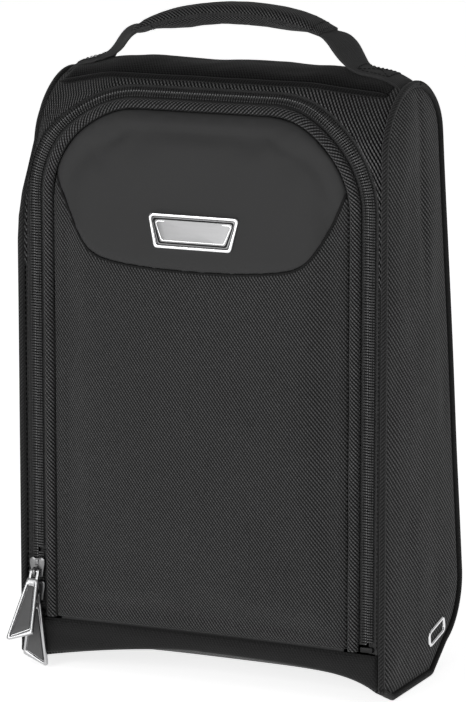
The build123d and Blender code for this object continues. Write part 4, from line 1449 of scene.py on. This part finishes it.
def strap(side, twist, pinch):
    """The webbing from inside the sleeve down to the top band, where it is sewn flat."""
    sign = SIDES[side]
    line = smooth_line(STRAP_LINE, 90)
    # the top of the strap follows the grip's ends
    up = smooth((84 - line[:, 0]) / 26)
    path_z = line[:, 1] + sign * GRIP_TILT * up
    path = np.column_stack([sign * line[:, 0], np.full(len(line), HANDLE_Y), path_z])
    path[:, 0] += GRIP_SHIFT[side] * up
    above, across = frames_along(path, UP)
    rows = []
    for k, centre in enumerate(path):
        u = (line[k, 0] - 57) / (84 - 57)
        bend = math.sin(math.pi * min(max(u, 0), 1)) ** 1.3
        turn = math.radians(twist) * bend
        wide = across[k] * math.cos(turn) + above[k] * math.sin(turn)
        thick = -across[k] * math.sin(turn) + above[k] * math.cos(turn)
        half = WEB_HALF * (1 - pinch * bend)
        section = ring(half, WEB_THICK / 2, 26, 5.0)
        bow = 1.6 * bend * (1 - (section[:, 0] / half) ** 2)
        rows.append([centre + wide * a + thick * (b + c) for (a, b), c in zip(section, bow)])
    rows = np.array(rows)
    # the sewn end lies over the crown of the top
    on_crown = smooth((np.abs(rows[..., 0]) - 74) / 10)
    rows[..., 2] -= (rows[..., 1] - HANDLE_Y) ** 2 / (2 * TOP_RADIUS) * on_crown
    made = swept(f"{side}_strap", settled(rows), WEBBING)
    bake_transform(made)
    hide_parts(f"{side}_strap_riser", f"{side}_strap_end")
    a, b, c = SEWN_NEAR, SEWN_FAR, SEWN_HALF
    box = [(a, -c), (b, -c), (b, c), (a, c), (a, -c), (b, c), (b, -c), (a, c)]
    x, y = resample(np.array(box), step=1.0).T
    height = np.interp(x, line[:, 0], line[:, 1]) + WEB_THICK / 2 - y**2 / (2 * TOP_RADIUS)
    points = settle(np.column_stack([sign * x, HANDLE_Y + y, height]))
    normals = np.tile([0, 0, 1.0], (len(points), 1))
    stitches(f"{side}_strap_stitches", points, normals, *END_STITCH, "bag", "webbing")


strap("left", 34.0, 0.12)
strap("right", -16.0, 0.05)

# the stitches round the sleeve's turned ends
for side, at in (("left", 3), ("right", -4)):
    section = SLEEVE_ROWS[at]
    row = resample(section, count=60, closed=True)
    normals = row - section.mean(0)
    row = row + normals / np.linalg.norm(normals, axis=1)[:, None] * 0.2
    stitches(f"grip_end_stitches_{side}", row, normals, *END_STITCH, "handle", "woven_fabric")

# ---------------------------------------------------------------- sliders and pulls


def rounded(corners, radius, count=96):
    """A polygon with rounded corners, as evenly spaced points."""
    corners = np.asarray(corners, float)
    points = []
    for k, corner in enumerate(corners):
        before, after = corners[k - 1] - corner, corners[(k + 1) % len(corners)] - corner
        lengths = np.linalg.norm(before), np.linalg.norm(after)
        a, b = before / lengths[0], after / lengths[1]
        half = math.acos(float(np.clip(a @ b, -1, 1))) / 2
        cut = min(radius / math.tan(half), 0.45 * lengths[0], 0.45 * lengths[1])
        start, end = corner + a * cut, corner + b * cut
        for part in np.linspace(0, 1, 7):
            points.append((1 - part) ** 2 * start + 2 * part * (1 - part) * corner + part**2 * end)
    return resample(np.array(points), count=count, closed=True)


def taper(half_low, low, half_high, high, radius, count=96):
    """A rounded four-sided outline, as wide as its two half-widths at low and high."""
    corners = [(-half_low, low), (half_low, low), (half_high, high), (-half_high, high)]
    return rounded(corners, radius, count)


def plate(loop, low, high, bevel, dome=0.0):
    """A closed plate over a loop, with rounded edges and a slightly domed face."""
    middle = loop.mean(0)
    rings = [(grown(loop, -bevel), low), (loop, low + bevel), (loop, high - bevel)]
    rings += [(grown(loop, -bevel * 0.3), high - bevel * 0.3), (grown(loop, -bevel), high)]
    for part in (0.75, 0.5, 0.25):
        inner = middle + (grown(loop, -bevel) - middle) * part
        rings.append((inner, high + dome * (1 - part**2)))
    rows = np.array([np.column_stack([ring_points, np.full(len(loop), z)]) for ring_points, z in rings])
    return strip(rows)


def frame_ring(outer, inner, low, high, bevel):
    """A closed frame between two loops of the same count, its edges rounded."""
    section = [(0, low + bevel), (0, high - bevel), (0.12, high - bevel * 0.3), (0.3, high), (0.7, high)]
    section += [(0.88, high - bevel * 0.3), (1, high - bevel), (1, low + bevel), (0.8, low), (0.2, low)]
    rows = [[np.append(i + (o - i) * part, z) for part, z in section] for o, i in zip(outer, inner)]
    return strip(np.array(rows), closed_path=True)


def in_plane(points, origin, across, up, out):
    """Points of a flat drawing, set into space."""
    origin, across, up, out = (np.asarray(v, float) for v in (origin, across, up, out))
    return origin + points[:, :1] * across + points[:, 1:2] * up + points[:, 2:3] * out


def rod(start, end, radius):
    """A short round bar along X with softened ends."""
    length = end[0] - start[0]
    rows = []
    ends = ((0, 0.6), (0.12, 0.9), (0.3, 1.0), (length - 0.3, 1.0), (length - 0.12, 0.9), (length, 0.6))
    for along, size in ends:
        section = ring(radius * size, radius * size, 12)
        rows.append([start + [along, -a, b] for a, b in section])
    return strip(np.array(rows))


def loop_bar(centre, radius, thick, wide):
    """A ring of rounded bar about an axis along X."""
    count = 36
    rows = []
    for k in range(count):
        angle = 2 * math.pi * k / count
        out = np.array([0, math.cos(angle), math.sin(angle)])
        section = ring(wide / 2, thick / 2, 12, 3.0)
        rows.append([centre + out * (radius + b) + [a, 0, 0] for a, b in section])
    return strip(np.array(rows), closed_path=True)


def middle_z(node_name):
    """Height of the middle of a CAD node."""
    low, high = cad_box(node_name)
    return (low[2] + high[2]) / 2


SLIDER_Z = {name: middle_z(f"{name}_slider") for name in ("upper", "lower")}
LEAF_Y = FRONT_Y + 0.1  # a slider's front leaf has its face here
PIVOT_Y = LEAF_Y - 2.6
PIVOT_DOWN = 2.0
PULL_POSE = {"upper": (4.0, 23.0, -1), "lower": (0.0, 0.0, 1)}  # tilt, swing, side of the low corner
PULL_LENGTH, PULL_SLANT = 43.0, 6.5
PULL_TOP_HALF, PULL_FOOT_HALF = 3.5, 8.0
WINDOW_TOP_HALF, WINDOW_FOOT_HALF, WINDOW_HIGH, WINDOW_LOW = 2.1, 6.1, 8.2, 40.6
BAR_HALF, CHEEK_INSIDE = 3.1, 1.35
# a slider's outline, x and z from its middle
LEAF = [(-3.4, -6), (3.4, -6), (4.1, -1.5), (4.8, 2.2), (4.8, 4.9), (3.0, 6), (1.0, 5.2), (-1.0, 5.2)]
LEAF += [(-3.0, 6), (-4.8, 4.9), (-4.8, 2.2), (-4.1, -1.5)]
FLANGE = [(3.1, -5.4, -0.4), (3.1, -5.4, 0.4), (4.35, 4.6, 0.4), (4.35, 4.6, -0.4)]  # x, z, half-width
FRONT_AXES = ((1, 0, 0), (0, 0, 1), (0, -1, 0))


def slider(name):
    """A coil-zip slider: two leaves with flanges, a wedge between them and a lug for the pull."""
    z = SLIDER_Z[name]
    parts = []

    def add(outline, low, high, bevel, dome=0.0):
        points, faces = plate(outline, low, high, bevel, dome)
        parts.append((in_plane(points, (-CHAIN_X, LEAF_Y, z), *FRONT_AXES), faces))

    outline = rounded(LEAF, 0.9)
    add(outline, -1.2, 0.0, 0.3, 0.25)
    add(outline, -5.4, -4.5, 0.3)
    for sign in (-1, 1):
        corners = [(sign * middle + half, height) for middle, height, half in FLANGE]
        for low, high in ((-1.9, -1.0), (-4.7, -4.25)):
            add(rounded(corners, 0.3, 40), low, high, 0.15)
    add(taper(0.1, 3.0, 0.16, 4.6, 0.08, 24), -4.7, -1.0, 0.05)
    # the lug: a standing ring with a raised bridge above and below it
    parts.append(loop_bar(np.array([-CHAIN_X, PIVOT_Y, z - PIVOT_DOWN]), 2.1, 1.15, 2.0))
    for drop, long in ((1.2, 3.6), (-5.2, 1.6)):
        add(taper(1.5, drop, 1.1, drop + long, 0.5, 40), -0.3, 0.75, 0.3, 0.2)
    points, faces = merge(parts)
    made = make_object(f"{name}_slider_body", points, faces, SLIDER_METAL, points[:, [0, 2]], sharp=40)
    place(made, f"{name}_slider", "slider_metal", f"{name}_slider")


def pull(name):
    """A tapered zip pull: a bevelled frame round a soft inlay, hung on a bar through the slider's lug."""
    tilt, swing, low_side = PULL_POSE[name]
    tilt, swing = math.radians(tilt), math.radians(swing)
    pivot = np.array([-CHAIN_X, PIVOT_Y, SLIDER_Z[name] - PIVOT_DOWN])
    out = np.array([0, -math.cos(swing), math.sin(swing)])
    up = np.array([0, math.sin(swing), math.cos(swing)])

    def blank(half_top, half_bottom, top, bottom, corner):
        right_low, left_low = (bottom, bottom - PULL_SLANT)[::low_side]
        foot = [(half_bottom, -right_low), (-half_bottom, -left_low)]
        corners = np.array([(-half_top, -top), (half_top, -top), *foot])
        c, s = math.cos(-tilt), math.sin(-tilt)
        return rounded(corners @ np.array([[c, s], [-s, c]]), corner, 120)

    def set_out(part):
        points, faces = part
        return in_plane(points, pivot, (1, 0, 0), up, out), faces

    outer = blank(PULL_TOP_HALF, PULL_FOOT_HALF, 4.2, PULL_LENGTH, 1.5)
    window = blank(WINDOW_TOP_HALF, WINDOW_FOOT_HALF, WINDOW_HIGH, WINDOW_LOW, 0.9)
    web = plate(blank(3.0, 6.8, 5.0, 41.6, 0.9), -0.5, 0.2, 0.1)
    frame_part = frame_ring(outer, window, -1.3, 1.3, 0.45)
    half_bar = np.array([BAR_HALF, 0, 0])
    solid = [set_out(frame_part), set_out(web), rod(pivot - half_bar, pivot + half_bar, 1.15)]
    for sign in (-1, 1):
        near, far = sign * CHEEK_INSIDE, sign * BAR_HALF
        cheek = rounded([(near, 0.9), (far, 0.9), (far, -5.0), (near, -5.0)], 0.4, 40)
        solid.append(set_out(plate(cheek, -1.1, 1.1, 0.35)))
    points, faces = merge(solid)
    made = make_object(f"{name}_pull_body", points, faces, PULL_METAL, points[:, [0, 2]], sharp=40)
    place(made, f"{name}_pull", "pull_metal", f"{name}_pull_frame")
    for face, low, high in (("front", 0.25, 1.0), ("back", -1.0, -0.55)):
        points, faces = set_out(plate(grown(window, -0.6), low, high, 0.15, 0.12))
        inlay_name = f"{name}_pull_inlay_{face}"
        inlay = make_object(inlay_name, points, faces, PULL_INLAY, points[:, [0, 2]], sharp=50)
        place(inlay, f"{name}_pull", "pull_inlay", f"{name}_pull_inlay")


for slider_name in SLIDER_Z:
    slider(slider_name)
    pull(slider_name)

stop_parts = []
for sign in (-1, 1):
    points, faces = plate(taper(3.8, -1.5, 3.8, 1.5, 0.6, 48), -2.4, -0.1, 0.3, 0.15)
    stop_at = sign * CHAIN_X, FRONT_Y + SKIN, middle_z("zip_end_stops")
    stop_parts.append((in_plane(points, stop_at, *FRONT_AXES), faces))
points, faces = merge(stop_parts)
stops = make_object("zip_stops", points, faces, STOP_METAL, points[:, [0, 2]], sharp=40)
place(stops, "bag", "slider_metal", "zip_end_stops")

# ---------------------------------------------------------------- badges

badge_out = np.array([0, -math.cos(BADGE_LEAN), math.sin(BADGE_LEAN)])
badge_up = np.array([0, math.sin(BADGE_LEAN), math.cos(BADGE_LEAN)])
badge_origin = np.array([0, BADGE_Y, BADGE_Z])


BADGE_TOP_HALF, BADGE_FOOT_HALF, BADGE_HALF_HIGH, BADGE_CORNER = 26.5, 22.0, 8.0, 1.5


def badge_loop(grow):
    """The badge's outline, wider at its top, moved outwards by grow."""
    high = BADGE_HALF_HIGH + grow
    corner = BADGE_CORNER + max(grow, 0) * 0.5
    return taper(BADGE_FOOT_HALF + grow, -high, BADGE_TOP_HALF + grow, high, corner, 160)


def badge_piece(name, part, material, slot_name, *nodes):
    """One piece of the badge, from a part drawn flat."""
    points, faces = part
    solid = in_plane(points, badge_origin, (1, 0, 0), badge_up, badge_out)
    made = make_object(name, solid, faces, material, points[:, :2], sharp=35)
    return place(made, "flap", slot_name, *nodes)


badge_plate = plate(badge_loop(-0.2), -2.0, 1.0, 0.2, 0.5)
bezel = frame_ring(badge_loop(2.0), badge_loop(0.0), -2.2, 1.9, 0.7)
# the border groove is a near-black ring on the badge's face: painted shade of a groove
groove = frame_ring(badge_loop(-0.8), badge_loop(-1.7), 0.6, 1.2, 0.05)
inner_line = frame_ring(badge_loop(-2.4), badge_loop(-2.8), 0.7, 1.24, 0.05)
badge_piece("badge_face", badge_plate, BADGE_METAL, "badge_metal", "badge_plate")
badge_piece("badge_bezel", bezel, BADGE_BRIGHT, "badge_bright", "badge_rim")
badge_piece("badge_border_groove_painted_shade", groove, GROOVE_PAINTED_SHADE, "badge_metal")
badge_piece("badge_inner_line", inner_line, BADGE_BRIGHT, "badge_bright")

side_low, side_high = cad_box("side_badge")
side_centre = (side_low + side_high) / 2
SIDE_BADGE_TILT = 12.0
oval = taper(12.5, -5.0, 12.5, 5.0, 3.6, 120)
hole = taper(10.6, -3.1, 10.6, 3.1, 2.2, 120)
points, faces = frame_ring(oval, hole, -1.2, 1.5, 0.5)
side_at = side_low[0], side_centre[1], side_centre[2]
tilt = math.radians(SIDE_BADGE_TILT)
along, above = (0, math.cos(tilt), math.sin(tilt)), (0, -math.sin(tilt), math.cos(tilt))
solid = in_plane(points, side_at, along, above, (1, 0, 0))
side_ring = make_object("side_badge_ring", solid, faces, BADGE_BRIGHT, points[:, :2], sharp=35)
place(side_ring, "bag", "badge_bright", "side_badge")

# ---------------------------------------------------------------- floor, light and camera


def studio_floor():
    """A very wide pale floor with a faint mottling."""
    made, tree, principled = shader("studio_floor")
    mottle = blend_values(tree, object_noise(tree, 3.0, 2.0), 0.985, 1.0)
    colour = tinted(tree, mottle, (0.92, 0.92, 0.92))
    for use in ("Base Color", "Emission Color"):
        tree.links.new(colour, principled.inputs[use])
    principled.inputs["Emission Strength"].default_value = 0.84
    principled.inputs["Roughness"].default_value = 0.9
    principled.inputs["Specular IOR Level"].default_value = 0.1
    shape = bmesh.new()
    bmesh.ops.create_circle(shape, cap_ends=True, segments=96, radius=30.0)
    mesh = bpy.data.meshes.new("studio_floor")
    shape.to_mesh(mesh)
    shape.free()
    mesh.materials.append(made)
    floor = bpy.data.objects.new("studio_floor", mesh)
    bpy.context.scene.collection.objects.link(floor)


def soft_light(name, place_at, aim, size, power):
    """A square softbox."""
    data = bpy.data.lights.new(name, "AREA")
    data.shape, data.size, data.energy = "SQUARE", size, power
    lamp = bpy.data.objects.new(name, data)
    bpy.context.scene.collection.objects.link(lamp)
    lamp.location = place_at
    lamp.rotation_euler = (Vector(aim) - Vector(place_at)).to_track_quat("-Z", "Y").to_euler()


studio_floor()
BAG_MIDDLE = (0, 0, 0.18)
soft_light("key", (-0.5, -2.2, 0.7), BAG_MIDDLE, 1.4, 24.0)
soft_light("fill", (2.1, -0.5, 0.7), BAG_MIDDLE, 1.5, 6.0)
soft_light("rear", (0.3, 1.8, 1.3), (0, 0, 0.2), 1.2, 2.5)

world = bpy.data.worlds.new("studio")
world.use_nodes = True
background = world.node_tree.nodes["Background"]
background.inputs["Color"].default_value = (1, 1, 1, 1)
background.inputs["Strength"].default_value = 0.25
bpy.context.scene.world = world
bpy.context.scene.view_settings.view_transform = "Standard"

camera_data = bpy.data.cameras.new("camera")
camera_data.lens, camera_data.sensor_width = 201.66, 36.0
camera_data.clip_start, camera_data.clip_end = 0.1, 100.0
camera = bpy.data.objects.new("camera", camera_data)
bpy.context.scene.collection.objects.link(camera)
camera.location = (0.9314, -2.0587, 0.6205)
aim = Vector((-0.0067, 0, 0.1860)) - camera.location
camera.rotation_euler = aim.to_track_quat("-Z", "Y").to_euler()
bpy.context.scene.camera = camera
